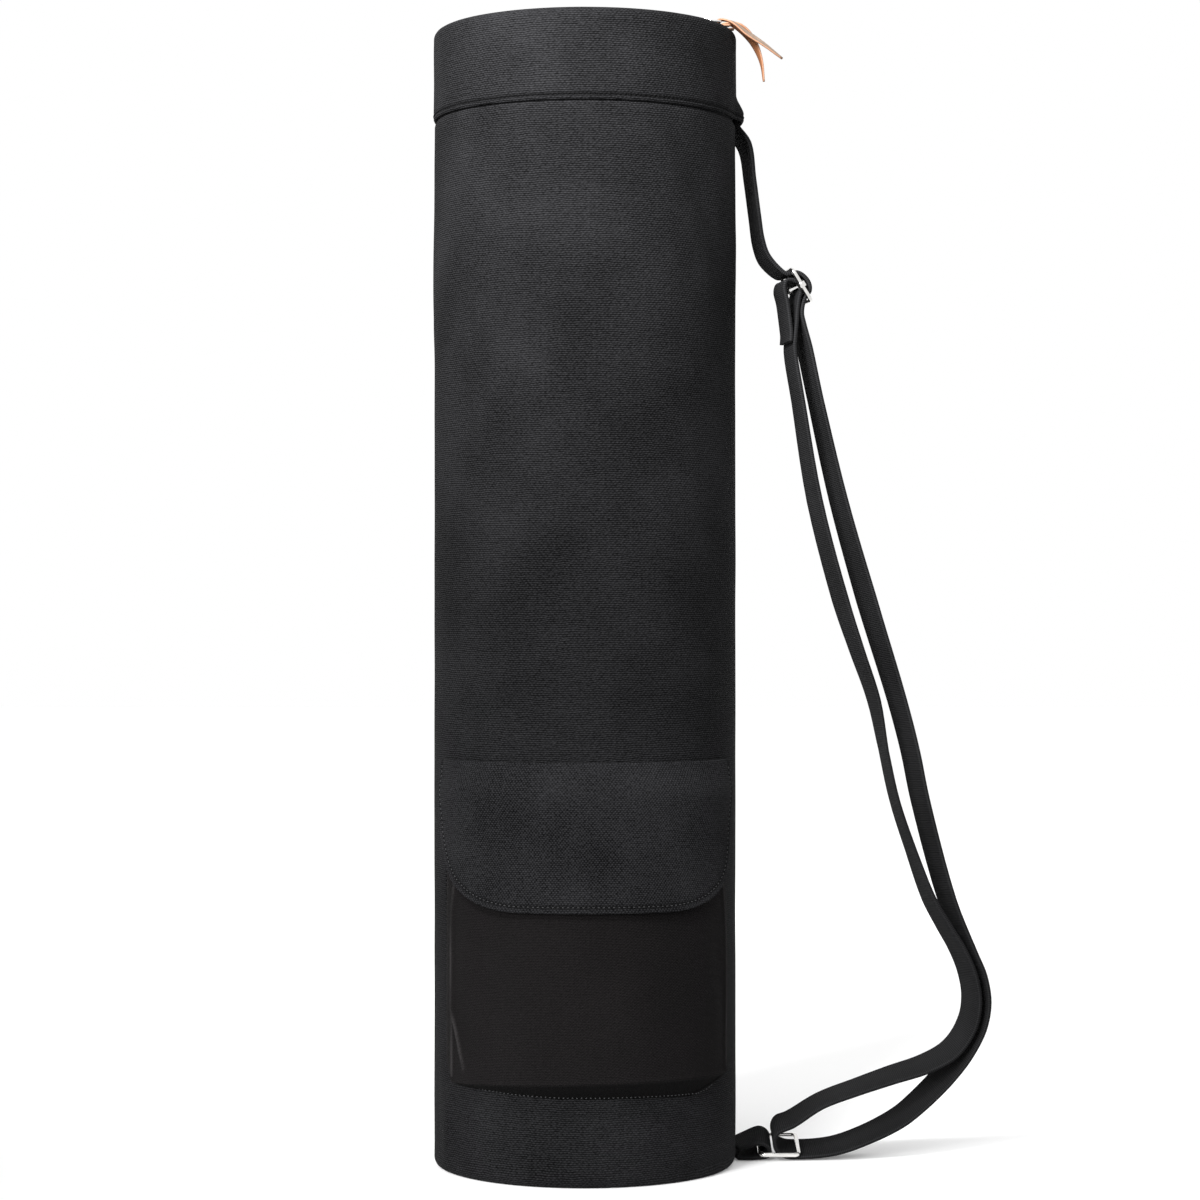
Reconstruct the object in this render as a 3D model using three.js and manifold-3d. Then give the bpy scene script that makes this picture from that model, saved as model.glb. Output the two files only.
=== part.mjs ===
// A round canvas bag for a rolled yoga mat, standing on its base: a zipped lid with two leather pulls,
// a flapped pocket low on the front, and an adjustable webbing strap that stands off the right side.
// Millimetres, +Z up. The front faces -Y and the strap is at +X. The origin is the centre of the base.
// Angles round the bag are in degrees from the front, positive towards the strap.
import * as THREE from "three";
import { mergeVertices } from "three/addons/utils/BufferGeometryUtils.js";
import Module from "manifold-3d";

// The bag's body
const BAG_RADIUS = 90;
const BAG_HEIGHT = 675;
const CLOTH = 1.8;
const SEAM_GAP = 0.35;
const LAID_GAP = 0.7;
const HEM_TURN = 4;
const HEM_RISE = 4.5;
const HEM_LIFT = 3;
const HEM_LIFT_ANGLE = 66;
const HEM_LIFT_SPREAD = 26;
const BASE_THICKNESS = 3;
const NECK_RUN = 16;

// The collar, the zip and the lid
const COLLAR_HEIGHT = 53;
const COLLAR_CLOTH = 1.8;
const COLLAR_PROUD = 0.5;
const RIM_ROUND = 4.5;
const RIM_LIP = 10;
const ZIP_WIDTH = 9;
const ZIP_UNDERLAP = 3.5;
const TAPE_THICKNESS = 1;
const COIL_WIDTH = 4.4;
const COIL_HEIGHT = 1.2;
const LID_SAG = 1.5;
const HINGE_ANGLE = -90;
const HINGE_SPREAD = 40;

// The zip's sliders, rings and leather pulls
const SLIDER_LENGTH = 11;
const SLIDER_WIDTH = 7.5;
const SLIDER_HEIGHT = 2.2;
const BRIDGE_HEIGHT = 4.6;
const BRIDGE_WIDTH = 2.2;
const BRIDGE_SPAN = 6.8;
const BRIDGE_EYE = 3.4;
const PULL_RING_LENGTH = 9;
const PULL_RING_WIDTH = 9.6;
const PULL_RING_BEND = 1.4;
const PULL_RING_WIRE = 1.2;
const PULL_WIDTH = 9;
const PULL_NECK = 5;
const PULL_THICKNESS = 1.3;
const PULL_FOLD = 6;
const PULL_LENGTH = 46;

// The pocket and its flap
const POCKET_ANGLE = 1;
const POCKET_HALF_ANGLE = 63.5;
const POCKET_FLOOR = 50;
const POCKET_TOP = 226;
const POCKET_DEPTH = 21;
const POCKET_MOUTH_DEPTH = 9;
const POCKET_CLOTH = 1.8;
const POCKET_FLOOR_SLOPE = 13;
const POCKET_CORNER = 34;
const FLAP_ANGLE = 0.5;
const FLAP_HALF_ANGLE = 66.5;
const FLAP_LOWER_HALF_ANGLE = 56;
const FLAP_SEAM = 243;
const FLAP_DROP = 84;
const FLAP_CORNER = 40;
const FLAP_CLOTH = 2.2;
const FLAP_EASE = 0.8;

// The strap and its hardware
const WEBBING_WIDTH = 30;
const WEBBING_THICKNESS = 2.2;
const STRAP_DEPTH = 18;
const STRAP_REACH = 149;
const STRAP_TUCK = 8;
const WIRE = 2.6;
const WIRE_PLAY = 1;
const SLIDE_OUT = 37;
const SLIDE_HEIGHT = 525;
const SLIDE_LENGTH = 24.5;
const SLIDE_TILT = 32.4;
const SLIDE_LEAN = 8.5;
const BAR_WIRE = 2.4;
const BAR_SLEEVE = 5;
const RING_OUT = 26.5;
const RING_LENGTH = 25.8;
const RING_HEIGHT = 7.3;
const RING_LIFT = 11;
const TAIL_LENGTH = 22;

// How finely the round forms are divided
const COLUMNS = 50;
const WIRE_SIDES = 6;
const CORNER_STEPS = 4;

const DEGREE = Math.PI / 180;
const COLLAR_EDGE = BAG_HEIGHT - COLLAR_HEIGHT;
const COLLAR_RADIUS = BAG_RADIUS + COLLAR_PROUD;
const NECK_RADIUS = COLLAR_RADIUS - COLLAR_CLOTH - SEAM_GAP;
const BASE_RADIUS = BAG_RADIUS - HEM_TURN - CLOTH - SEAM_GAP;
const STRAP_ANGLE = 90 + Math.asin(STRAP_DEPTH / BAG_RADIUS) / DEGREE;

// Soft folds of the body's cloth. Each runs from its upper to its lower end: angles in degrees, heights as
// shares of BAG_HEIGHT, and its width and rise as shares of BAG_RADIUS. A negative rise is a valley.
const BODY_FOLDS = [
  { upperAngle: -44, upperHeight: 0.9, lowerAngle: -70, lowerHeight: 0.74, width: 0.13, rise: 0.014 },
  { upperAngle: -30, upperHeight: 0.88, lowerAngle: -52, lowerHeight: 0.66, width: 0.16, rise: -0.01 },
  { upperAngle: 45, upperHeight: 0.885, lowerAngle: 72, lowerHeight: 0.74, width: 0.13, rise: -0.015 },
  { upperAngle: 60, upperHeight: 0.89, lowerAngle: 84, lowerHeight: 0.79, width: 0.12, rise: 0.01 },
  { upperAngle: 44, upperHeight: 0.06, lowerAngle: 6, lowerHeight: 0.03, width: 0.09, rise: 0.01 },
  { upperAngle: -66, upperHeight: 0.1, lowerAngle: -64, lowerHeight: 0.025, width: 0.08, rise: 0.012 },
  { upperAngle: 12, upperHeight: 0.7, lowerAngle: 8, lowerHeight: 0.45, width: 0.3, rise: 0.008 },
  { upperAngle: 150, upperHeight: 0.8, lowerAngle: 165, lowerHeight: 0.3, width: 0.2, rise: -0.008 },
  { upperAngle: -150, upperHeight: 0.86, lowerAngle: -128, lowerHeight: 0.6, width: 0.18, rise: 0.009 },
];

// The strap's two strands below the slide, each from its upper to its lower end. Out is a share of
// STRAP_REACH beyond the bag's side, up is a share of SLIDE_HEIGHT, and roll is how far the far edge
// of the webbing leans into the loop, as a share of its width.
const OUTER_STRAND = [
  { out: 0.264, up: 0.956, roll: 0.17 },
  { out: 0.288, up: 0.928, roll: 0.2 },
  { out: 0.331, up: 0.87, roll: 0.2 },
  { out: 0.424, up: 0.755, roll: 0.26 },
  { out: 0.538, up: 0.64, roll: 0.31 },
  { out: 0.661, up: 0.525, roll: 0.27 },
  { out: 0.714, up: 0.467, roll: 0.26 },
  { out: 0.755, up: 0.41, roll: 0.26 },
  { out: 0.864, up: 0.295, roll: 0.25 },
  { out: 0.945, up: 0.237, roll: 0.26 },
  { out: 0.985, up: 0.209, roll: 0.27 },
  { out: 1, up: 0.18, roll: 0.28 },
  { out: 0.981, up: 0.151, roll: 0.29 },
  { out: 0.923, up: 0.12, roll: 0.3 },
  { out: 0.848, up: 0.093, roll: 0.3 },
  { out: 0.751, up: 0.065, roll: 0.27 },
  { out: 0.665, up: 0.045, roll: 0.24 },
  { out: 0.528, up: 0.025, roll: 0.2 },
  { out: 0.4, up: 0.0125, roll: 0.19 },
];
const INNER_STRAND = [
  { out: 0.207, up: 0.956, roll: 0.16 },
  { out: 0.228, up: 0.928, roll: 0.15 },
  { out: 0.26, up: 0.87, roll: 0.15 },
  { out: 0.327, up: 0.755, roll: 0.2 },
  { out: 0.432, up: 0.64, roll: 0.22 },
  { out: 0.499, up: 0.582, roll: 0.18 },
  { out: 0.567, up: 0.525, roll: 0.14 },
  { out: 0.607, up: 0.467, roll: 0.06 },
  { out: 0.651, up: 0.41, roll: 0.07 },
  { out: 0.718, up: 0.352, roll: 0.1 },
  { out: 0.793, up: 0.295, roll: 0.17 },
  { out: 0.85, up: 0.266, roll: 0.21 },
  { out: 0.909, up: 0.237, roll: 0.24 },
  { out: 0.948, up: 0.209, roll: 0.26 },
  { out: 0.963, up: 0.18, roll: 0.27 },
  { out: 0.944, up: 0.152, roll: 0.27 },
  { out: 0.878, up: 0.124, roll: 0.25 },
  { out: 0.775, up: 0.107, roll: 0.22 },
  { out: 0.637, up: 0.094, roll: 0.19 },
  { out: 0.495, up: 0.08, roll: 0.15 },
  { out: 0.347, up: 0.064, roll: 0.14 },
  { out: 0.228, up: 0.043, roll: 0.17 },
];

// The strap from the collar down to the slide, with the same columns.
const LEAD = [
  { out: 0.043, up: 1.163, roll: 0.17 },
  { out: 0.065, up: 1.123, roll: 0.14 },
  { out: 0.084, up: 1.082, roll: 0.14 },
  { out: 0.1, up: 1.051, roll: 0.15 },
  { out: 0.125, up: 1.032, roll: 0.15 },
];

// The two leather pulls. Angle places the slider on the zip, heading is the way the leather points, and
// the path's rows are shares of PULL_LENGTH: along the heading, and down from the ring.
const PULLS = [
  {
    name: "1",
    angle: 73,
    heading: 101,
    path: [
      { along: 0.16, down: 0.03 },
      { along: 0.35, down: 0.16 },
      { along: 0.6, down: 0.31 },
      { along: 0.83, down: 0.47 },
    ],
  },
  {
    name: "2",
    angle: 84,
    heading: 92,
    path: [
      { along: 0.14, down: 0.02 },
      { along: 0.3, down: 0.14 },
      { along: 0.42, down: 0.32 },
      { along: 0.49, down: 0.52 },
      { along: 0.52, down: 0.74 },
    ],
  },
];

const wasm = await Module();
wasm.setup();

const materials = {
  canvas: new THREE.MeshStandardMaterial({ color: 0x2b2b2d, roughness: 0.9, metalness: 0 }),
  webbing: new THREE.MeshStandardMaterial({ color: 0x19191a, roughness: 0.85, metalness: 0 }),
  metal: new THREE.MeshStandardMaterial({ color: 0xd8d8d6, roughness: 0.2, metalness: 1 }),
  leather: new THREE.MeshStandardMaterial({ color: 0xc88c64, roughness: 0.6, metalness: 0 }),
};

const bag = new THREE.Group();

function add(name, geometry, material) {
  const mesh = new THREE.Mesh(geometry, material);
  mesh.name = name;
  bag.add(mesh);
  return mesh;
}

// Measures that the forms share
function clamp(value, low, high) {
  return Math.min(high, Math.max(low, value));
}

function smooth(share) {
  const t = clamp(share, 0, 1);
  return t * t * (3 - 2 * t);
}

function mix(from, to, share) {
  return from + (to - from) * share;
}

function angleApart(a, b) {
  return Math.abs(((a - b + 540) % 360) - 180);
}

function hump(offset, width) {
  return Math.exp(-0.5 * (offset / width) ** 2);
}

// The point at an angle from the front, a distance from the bag's axis and a height.
function around(angle, radius, height) {
  return [radius * Math.sin(angle * DEGREE), -radius * Math.cos(angle * DEGREE), height];
}

// A body from a grid of points for its outer face and one for its inner face. Each grid is a list of rows
// from low to high, each row going round to the right. Grids that wrap close on themselves sideways.
function clothBody(outer, inner, wraps) {
  const width = outer[0].length;
  const positions = [...outer.flat(), ...inner.flat()].flat();
  const innerStart = outer.length * width;
  const outerIndex = (row, column) => row * width + (column % width);
  const innerIndex = (row, column) => innerStart + outerIndex(row, column);
  const indices = [];
  const quad = (a, b, c, d) => indices.push(a, b, c, a, c, d);
  const steps = wraps ? width : width - 1;
  for (let column = 0; column < steps; column++) {
    const next = column + 1;
    for (let row = 0; row < outer.length - 1; row++) {
      quad(
        outerIndex(row, column),
        outerIndex(row, next),
        outerIndex(row + 1, next),
        outerIndex(row + 1, column),
      );
    }
    for (let row = 0; row < inner.length - 1; row++) {
      quad(
        innerIndex(row, column),
        innerIndex(row + 1, column),
        innerIndex(row + 1, next),
        innerIndex(row, next),
      );
    }
    quad(outerIndex(0, column), innerIndex(0, column), innerIndex(0, next), outerIndex(0, next));
    const top = outer.length - 1;
    const innerTop = inner.length - 1;
    quad(
      outerIndex(top, column),
      outerIndex(top, next),
      innerIndex(innerTop, next),
      innerIndex(innerTop, column),
    );
  }
  if (!wraps) {
    const last = width - 1;
    for (let row = 0; row < outer.length - 1; row++) {
      quad(outerIndex(row, 0), outerIndex(row + 1, 0), innerIndex(row + 1, 0), innerIndex(row, 0));
      quad(
        outerIndex(row, last),
        innerIndex(row, last),
        innerIndex(row + 1, last),
        outerIndex(row + 1, last),
      );
    }
  }
  return indexed(positions, indices);
}

function indexed(positions, indices) {
  const geometry = new THREE.BufferGeometry();
  geometry.setAttribute("position", new THREE.Float32BufferAttribute(positions, 3));
  geometry.setIndex(indices);
  geometry.computeVertexNormals();
  return geometry;
}

// A body through a row of like sections, each a closed list of points: a loop that meets its own start,
// or a run with a cap at each end.
function loft(sections, closed) {
  const size = sections[0].length;
  const positions = sections.flat().flat();
  const indices = [];
  const steps = closed ? sections.length : sections.length - 1;
  for (let step = 0; step < steps; step++) {
    const here = step * size;
    const there = ((step + 1) % sections.length) * size;
    for (let i = 0; i < size; i++) {
      const j = (i + 1) % size;
      indices.push(here + i, here + j, there + j, here + i, there + j, there + i);
    }
  }
  if (!closed) {
    const end = (sections.length - 1) * size;
    for (let i = 1; i < size - 1; i++) {
      indices.push(0, i + 1, i);
      indices.push(end, end + i, end + i + 1);
    }
  }
  return facingOut(indexed(positions, indices));
}

// Turns every triangle round where the body would be inside out.
function facingOut(geometry) {
  const index = geometry.getIndex();
  const place = geometry.getAttribute("position");
  const corner = [new THREE.Vector3(), new THREE.Vector3(), new THREE.Vector3()];
  let volume = 0;
  for (let i = 0; i < index.count; i += 3) {
    corner.forEach((point, k) => point.fromBufferAttribute(place, index.getX(i + k)));
    volume += corner[0].dot(corner[1].cross(corner[2]));
  }
  if (volume < 0) {
    for (let i = 0; i < index.count; i += 3) {
      const first = index.getX(i);
      index.setX(i, index.getX(i + 1));
      index.setX(i + 1, first);
    }
    geometry.computeVertexNormals();
  }
  return geometry;
}

// Joins and cuts
function solidOf(geometry) {
  const bare = geometry.clone();
  bare.deleteAttribute("normal");
  bare.deleteAttribute("uv");
  const merged = mergeVertices(bare);
  return new wasm.Manifold(
    new wasm.Mesh({
      numProp: 3,
      vertProperties: merged.attributes.position.array,
      triVerts: new Uint32Array(merged.index.array),
    }),
  );
}

function geometryOf(solid) {
  const mesh = solid.getMesh();
  return indexed(Array.from(mesh.vertProperties), Array.from(mesh.triVerts));
}

// The body's cloth
function foldRise(angle, height) {
  let rise = 0;
  for (const fold of BODY_FOLDS) {
    const upper = fold.upperHeight * BAG_HEIGHT;
    const lower = fold.lowerHeight * BAG_HEIGHT;
    const along = clamp((upper - height) / (upper - lower), 0, 1);
    const line = mix(fold.upperAngle, fold.lowerAngle, along);
    const aside = angleApart(angle, line) * DEGREE * BAG_RADIUS;
    const beyond = height - mix(upper, lower, along);
    const width = fold.width * BAG_RADIUS;
    const fade = Math.sqrt(Math.sin(Math.PI * clamp(along, 0.06, 0.94)));
    rise += fold.rise * BAG_RADIUS * fade * hump(Math.hypot(aside, beyond), width);
  }
  return rise;
}

function hemRise(angle) {
  return HEM_RISE + HEM_LIFT * hump(angleApart(angle, HEM_LIFT_ANGLE), HEM_LIFT_SPREAD);
}

// The body's outer radius, turned in at the hem and narrowed where it runs up under the collar.
function bodyRadius(angle, height) {
  const hem = hemRise(angle);
  const turn = clamp(1 - height / hem, 0, 1);
  const hemInset = HEM_TURN * (1 - Math.sqrt(1 - turn * turn));
  const neck = smooth((height - (COLLAR_EDGE - NECK_RUN)) / NECK_RUN);
  const ease = 1 - neck;
  return BAG_RADIUS - hemInset + foldRise(angle, height) * ease - (BAG_RADIUS - NECK_RADIUS) * neck;
}

function bodyInnerRadius(angle, height) {
  const hem = hemRise(angle);
  const turn = clamp(1 - (height - CLOTH) / (hem - CLOTH), 0, 1);
  const hemInset = HEM_TURN * (1 - Math.sqrt(1 - turn * turn));
  if (height < hem) return BAG_RADIUS - CLOTH - hemInset;
  return bodyRadius(angle, height) - CLOTH;
}

function angles(count) {
  return Array.from({ length: count }, (_, i) => (360 * i) / count - 180);
}

function tubeBody() {
  const top = BAG_HEIGHT - RIM_ROUND - SEAM_GAP;
  const hemShares = [0, 0.08, 0.3, 1];
  const middle = Array.from({ length: 12 }, (_, i) => mix(0.035, 0.86, i / 11) * BAG_HEIGHT);
  const neckShares = [0.9, 0.6, 0.3, 0];
  const neck = neckShares.map((share) => COLLAR_EDGE - NECK_RUN * share);
  const across = angles(COLUMNS);
  const outer = [
    ...hemShares.map((share) => across.map((a) => {
      const height = share * hemRise(a);
      return around(a, bodyRadius(a, height), height);
    })),
    ...[...middle, ...neck, top].map((height) => across.map((a) => around(a, bodyRadius(a, height), height))),
  ];
  const inner = [
    across.map((a) => around(a, BASE_RADIUS + SEAM_GAP, 0)),
    ...[0, 0.3, 1].map((share) => across.map((a) => {
      const height = mix(CLOTH, hemRise(a), share);
      return around(a, bodyInnerRadius(a, height), height);
    })),
    ...[...middle.filter((_, i) => i % 2 === 0), ...neck, top].map((height) =>
      across.map((a) => around(a, bodyInnerRadius(a, height), height)),
    ),
  ];
  return clothBody(outer, inner, true);
}

// A turned form from a profile of distances from the axis and heights.
function turned(profile) {
  const geometry = new THREE.LatheGeometry(
    profile.map(([radius, height]) => new THREE.Vector2(radius, height)),
    COLUMNS,
  );
  geometry.rotateX(Math.PI / 2);
  return facingOut(geometry);
}

function basePanel() {
  return turned([
    [0, 0],
    [BASE_RADIUS, 0],
    [BASE_RADIUS, BASE_THICKNESS],
    [0, BASE_THICKNESS],
  ]);
}

// The collar stands off where the strap's end is sewn in under its lower edge.
function collarFlare(angle, height) {
  const room = WEBBING_THICKNESS + 3 * SEAM_GAP + sagitta(NECK_RADIUS);
  const aside = angleApart(angle, STRAP_ANGLE) * DEGREE * BAG_RADIUS;
  const sideways = 1 - smooth((aside - WEBBING_WIDTH * 0.7) / (WEBBING_WIDTH / 2));
  const upwards = 1 - smooth((height - COLLAR_EDGE - STRAP_TUCK - 2) / (2 * STRAP_TUCK));
  return room * sideways * upwards;
}

// How far the middle of the flat webbing would sink into a round of this radius.
function sagitta(radius) {
  return radius - Math.sqrt(radius * radius - (WEBBING_WIDTH / 2) ** 2);
}

function topCollar() {
  const lip = BAG_RADIUS - RIM_LIP;
  const roundTop = BAG_HEIGHT - RIM_ROUND;
  const arc = [0, 22.5, 45, 67.5, 90];
  const innerRound = RIM_ROUND - COLLAR_CLOTH;
  const centre = COLLAR_RADIUS - RIM_ROUND;
  const walls = [0, 0.12, 0.25, 0.4, 0.55].map((share) => COLLAR_EDGE + share * COLLAR_HEIGHT);
  const outerRows = [
    ...walls.map((height) => (a) => [COLLAR_RADIUS + collarFlare(a, height), height]),
    ...arc.map((turn) => () => [
      centre + RIM_ROUND * Math.cos(turn * DEGREE),
      roundTop + RIM_ROUND * Math.sin(turn * DEGREE),
    ]),
    () => [lip, BAG_HEIGHT],
  ];
  const innerRows = [
    ...walls.map((height) => (a) => [COLLAR_RADIUS - COLLAR_CLOTH + collarFlare(a, height), height]),
    ...[0, 45, 90].map((turn) => () => [
      centre + innerRound * Math.cos(turn * DEGREE),
      roundTop + innerRound * Math.sin(turn * DEGREE),
    ]),
    () => [lip, BAG_HEIGHT - COLLAR_CLOTH],
  ];
  const grid = (rows) => rows.map((row) => angles(COLUMNS).map((a) => around(a, ...row(a))));
  return clothBody(grid(outerRows), grid(innerRows), true);
}

function topLid() {
  const radius = BAG_RADIUS - RIM_LIP - ZIP_WIDTH;
  const top = [
    [radius, BAG_HEIGHT],
    [radius * 0.6, BAG_HEIGHT - LID_SAG * 0.7],
    [0, BAG_HEIGHT - LID_SAG],
  ];
  const under = top.map(([r, height]) => [r, height - COLLAR_CLOTH]).reverse();
  return turned([...under, ...top]);
}

// A run of one section round the top, from one angle to another. The section's points are distances from
// the axis and heights.
function arcRun(section, from, to) {
  const steps = Math.max(2, Math.round((COLUMNS * (to - from)) / 360));
  const sections = Array.from({ length: steps + 1 }, (_, i) =>
    section.map(([radius, height]) => around(mix(from, to, i / steps), radius, height)),
  );
  return loft(sections, false);
}

// The strip of cloth that the lid swings on, where the zip leaves it joined to the collar.
function lidHinge() {
  const outer = BAG_RADIUS - RIM_LIP - SEAM_GAP;
  const inner = BAG_RADIUS - RIM_LIP - ZIP_WIDTH + SEAM_GAP;
  const section = [
    [inner, BAG_HEIGHT - COLLAR_CLOTH],
    [outer, BAG_HEIGHT - COLLAR_CLOTH],
    [outer, BAG_HEIGHT],
    [inner, BAG_HEIGHT],
  ];
  return arcRun(section, HINGE_ANGLE - HINGE_SPREAD / 2, HINGE_ANGLE + HINGE_SPREAD / 2);
}

const ZIP_RADIUS = BAG_RADIUS - RIM_LIP - ZIP_WIDTH / 2;
const TAPE_TOP = BAG_HEIGHT - COLLAR_CLOTH - SEAM_GAP;

// The zip's tape, with its closed coil standing up in the slot between the collar's lip and the lid.
function zipTape() {
  const half = ZIP_WIDTH / 2 + ZIP_UNDERLAP;
  const coil = COIL_WIDTH / 2;
  const section = [
    [ZIP_RADIUS - half, TAPE_TOP - TAPE_THICKNESS],
    [ZIP_RADIUS + half, TAPE_TOP - TAPE_THICKNESS],
    [ZIP_RADIUS + half, TAPE_TOP],
    [ZIP_RADIUS + coil, TAPE_TOP],
    [ZIP_RADIUS + coil * 0.7, TAPE_TOP + COIL_HEIGHT],
    [ZIP_RADIUS - coil * 0.7, TAPE_TOP + COIL_HEIGHT],
    [ZIP_RADIUS - coil, TAPE_TOP],
    [ZIP_RADIUS - half, TAPE_TOP],
  ];
  const clear = SEAM_GAP / (ZIP_RADIUS * DEGREE);
  const start = HINGE_ANGLE + HINGE_SPREAD / 2 + clear;
  return arcRun(section, start, start + 360 - HINGE_SPREAD - 2 * clear);
}

const SLIDER_FLOOR = TAPE_TOP + COIL_HEIGHT + SEAM_GAP;
const SLIDER_TOP = SLIDER_FLOOR + SLIDER_HEIGHT;

// A zip slider, made about its own centre with X outward from the bag and Y along the zip.
function zipSlider() {
  const plate = new THREE.Shape();
  const halfLength = SLIDER_LENGTH / 2;
  const halfWidth = SLIDER_WIDTH / 2;
  plate.moveTo(-halfWidth, -halfLength * 0.6);
  plate.quadraticCurveTo(-halfWidth, -halfLength, -halfWidth * 0.4, -halfLength);
  plate.lineTo(halfWidth * 0.4, -halfLength);
  plate.quadraticCurveTo(halfWidth, -halfLength, halfWidth, -halfLength * 0.6);
  plate.lineTo(halfWidth * 0.75, halfLength);
  plate.lineTo(-halfWidth * 0.75, halfLength);
  plate.closePath();
  const body = new THREE.ExtrudeGeometry(plate, {
    depth: SLIDER_HEIGHT,
    bevelEnabled: false,
    curveSegments: 3,
  });
  const arch = new THREE.Shape();
  const halfSpan = BRIDGE_SPAN / 2;
  arch.moveTo(-halfSpan, -SLIDER_HEIGHT / 2);
  arch.lineTo(halfSpan, -SLIDER_HEIGHT / 2);
  arch.lineTo(halfSpan, BRIDGE_HEIGHT * 0.4);
  arch.quadraticCurveTo(halfSpan, BRIDGE_HEIGHT, 0, BRIDGE_HEIGHT);
  arch.quadraticCurveTo(-halfSpan, BRIDGE_HEIGHT, -halfSpan, BRIDGE_HEIGHT * 0.4);
  arch.closePath();
  const eye = new THREE.Path();
  eye.absarc(0, BRIDGE_EYE / 2 + 0.1, BRIDGE_EYE / 2, 0, 2 * Math.PI, true);
  arch.holes.push(eye);
  const bridge = new THREE.ExtrudeGeometry(arch, {
    depth: BRIDGE_WIDTH,
    bevelEnabled: false,
    curveSegments: 5,
  });
  bridge.rotateX(Math.PI / 2);
  bridge.translate(0, BRIDGE_WIDTH / 2, SLIDER_HEIGHT);
  return geometryOf(solidOf(body).add(solidOf(bridge)));
}

// A wire bent into a loop with round corners. Length runs along X and width along Y, both to the outside.
function wireLoop(length, width, wire, bend) {
  const halfLength = (length - wire) / 2;
  const halfWidth = (width - wire) / 2;
  const middles = [];
  const corners = [
    [1, 1, 0],
    [-1, 1, 90],
    [-1, -1, 180],
    [1, -1, 270],
  ];
  for (const [sideX, sideY, start] of corners) {
    for (let i = 0; i <= CORNER_STEPS; i++) {
      const turn = (start + (90 * i) / CORNER_STEPS) * DEGREE;
      middles.push({
        x: sideX * (halfLength - bend) + bend * Math.cos(turn),
        y: sideY * (halfWidth - bend) + bend * Math.sin(turn),
        turn,
      });
    }
  }
  const sections = middles.map(({ x, y, turn }) =>
    Array.from({ length: WIRE_SIDES }, (_, i) => {
      const round = (2 * Math.PI * i) / WIRE_SIDES;
      const out = (wire / 2) * Math.cos(round);
      return [x + out * Math.cos(turn), y + out * Math.sin(turn), (wire / 2) * Math.sin(round)];
    }),
  );
  return loft(sections, true);
}

// A ribbon along a row of stations. Each has its middle, the direction along it, the direction across it
// and its thickness; cup is how far the middle of the ribbon bows out from its edges.
function ribbon(stations) {
  const sections = stations.map(({ middle, along, across, width, thickness, cup }) => {
    const up = new THREE.Vector3().crossVectors(across, along).normalize();
    const point = (side, face) =>
      middle
        .clone()
        .addScaledVector(across, (side * width) / 2)
        .addScaledVector(up, (face * thickness) / 2 + cup * (1 - Math.abs(side)))
        .toArray();
    return [
      point(-1, -1),
      point(0, -1),
      point(1, -1),
      point(1, 1),
      point(0, 1),
      point(-1, 1),
    ];
  });
  return loft(sections, false);
}

// A leather pull: a strip folded round the outer wire of its ring, wide in its middle and narrowed to a
// point at its free end.
function leatherPull(pull) {
  const way = new THREE.Vector3(...around(pull.heading, 1, 0));
  const across = new THREE.Vector3(...around(pull.heading + 90, 1, 0));
  const wire = new THREE.Vector3(...around(pull.angle, ZIP_RADIUS, ringHeight()));
  wire.addScaledVector(way, PULL_RING_LENGTH - PULL_RING_WIRE);
  const wrap = PULL_RING_WIRE / 2 + SEAM_GAP + PULL_THICKNESS / 2;
  const place = (along, up) => wire.clone().addScaledVector(way, along).setZ(wire.z + up);
  const turns = [270, 225, 180, 135, 90];
  const points = [
    place(PULL_FOLD, -wrap),
    ...turns.map((turn) => place(wrap * Math.cos(turn * DEGREE), wrap * Math.sin(turn * DEGREE))),
    ...pull.path.map(({ along, down }) => place(along * PULL_LENGTH, wrap - down * PULL_LENGTH)),
  ];
  const curve = new THREE.CatmullRomCurve3(points, false, "centripetal");
  const last = points.length - 1;
  const body = turns.length;
  const places = points.slice(0, -1).flatMap((_, i) => (i > body ? [i, i + 0.5] : [i]));
  places.push(last);
  const stations = places.map((spot) => {
    const share = clamp((spot - body) / (last - body), 0, 1);
    const widened = mix(PULL_NECK, PULL_WIDTH, smooth(share / 0.3));
    const point = Math.sqrt(clamp((1 - share) / 0.4, 0.02, 1));
    return {
      middle: curve.getPoint(spot / last),
      along: curve.getTangent(spot / last),
      across,
      width: widened * point,
      thickness: PULL_THICKNESS,
      cup: 0,
    };
  });
  return ribbon(stations);
}

function ringHeight() {
  return SLIDER_TOP + BRIDGE_EYE / 2;
}

function addPulls() {
  for (const pull of PULLS) {
    const slider = zipSlider();
    slider.rotateZ((pull.angle - 90) * DEGREE);
    slider.translate(...around(pull.angle, ZIP_RADIUS, SLIDER_FLOOR));
    add("zip_slider_" + pull.name, slider, materials.metal);
    const ring = wireLoop(PULL_RING_LENGTH, PULL_RING_WIDTH, PULL_RING_WIRE, PULL_RING_BEND);
    ring.translate(PULL_RING_LENGTH / 2 - PULL_RING_WIRE / 2, 0, 0);
    ring.rotateZ((pull.heading - 90) * DEGREE);
    ring.translate(...around(pull.angle, ZIP_RADIUS, ringHeight()));
    add("pull_ring_" + pull.name, ring, materials.metal);
    add("leather_pull_" + pull.name, leatherPull(pull), materials.leather);
  }
}

// The pocket's outer face stands off the body by its depth, which grows from the mouth down and slopes
// back to the body at the pocket's floor.
function pocketDepth(height) {
  const fromMouth = smooth((POCKET_TOP - height) / ((POCKET_TOP - POCKET_FLOOR) * 0.55));
  const depth = mix(POCKET_MOUTH_DEPTH, POCKET_DEPTH, fromMouth);
  const floor = clamp((height - POCKET_FLOOR) / POCKET_FLOOR_SLOPE, 0, 1);
  return depth * floor;
}

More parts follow.
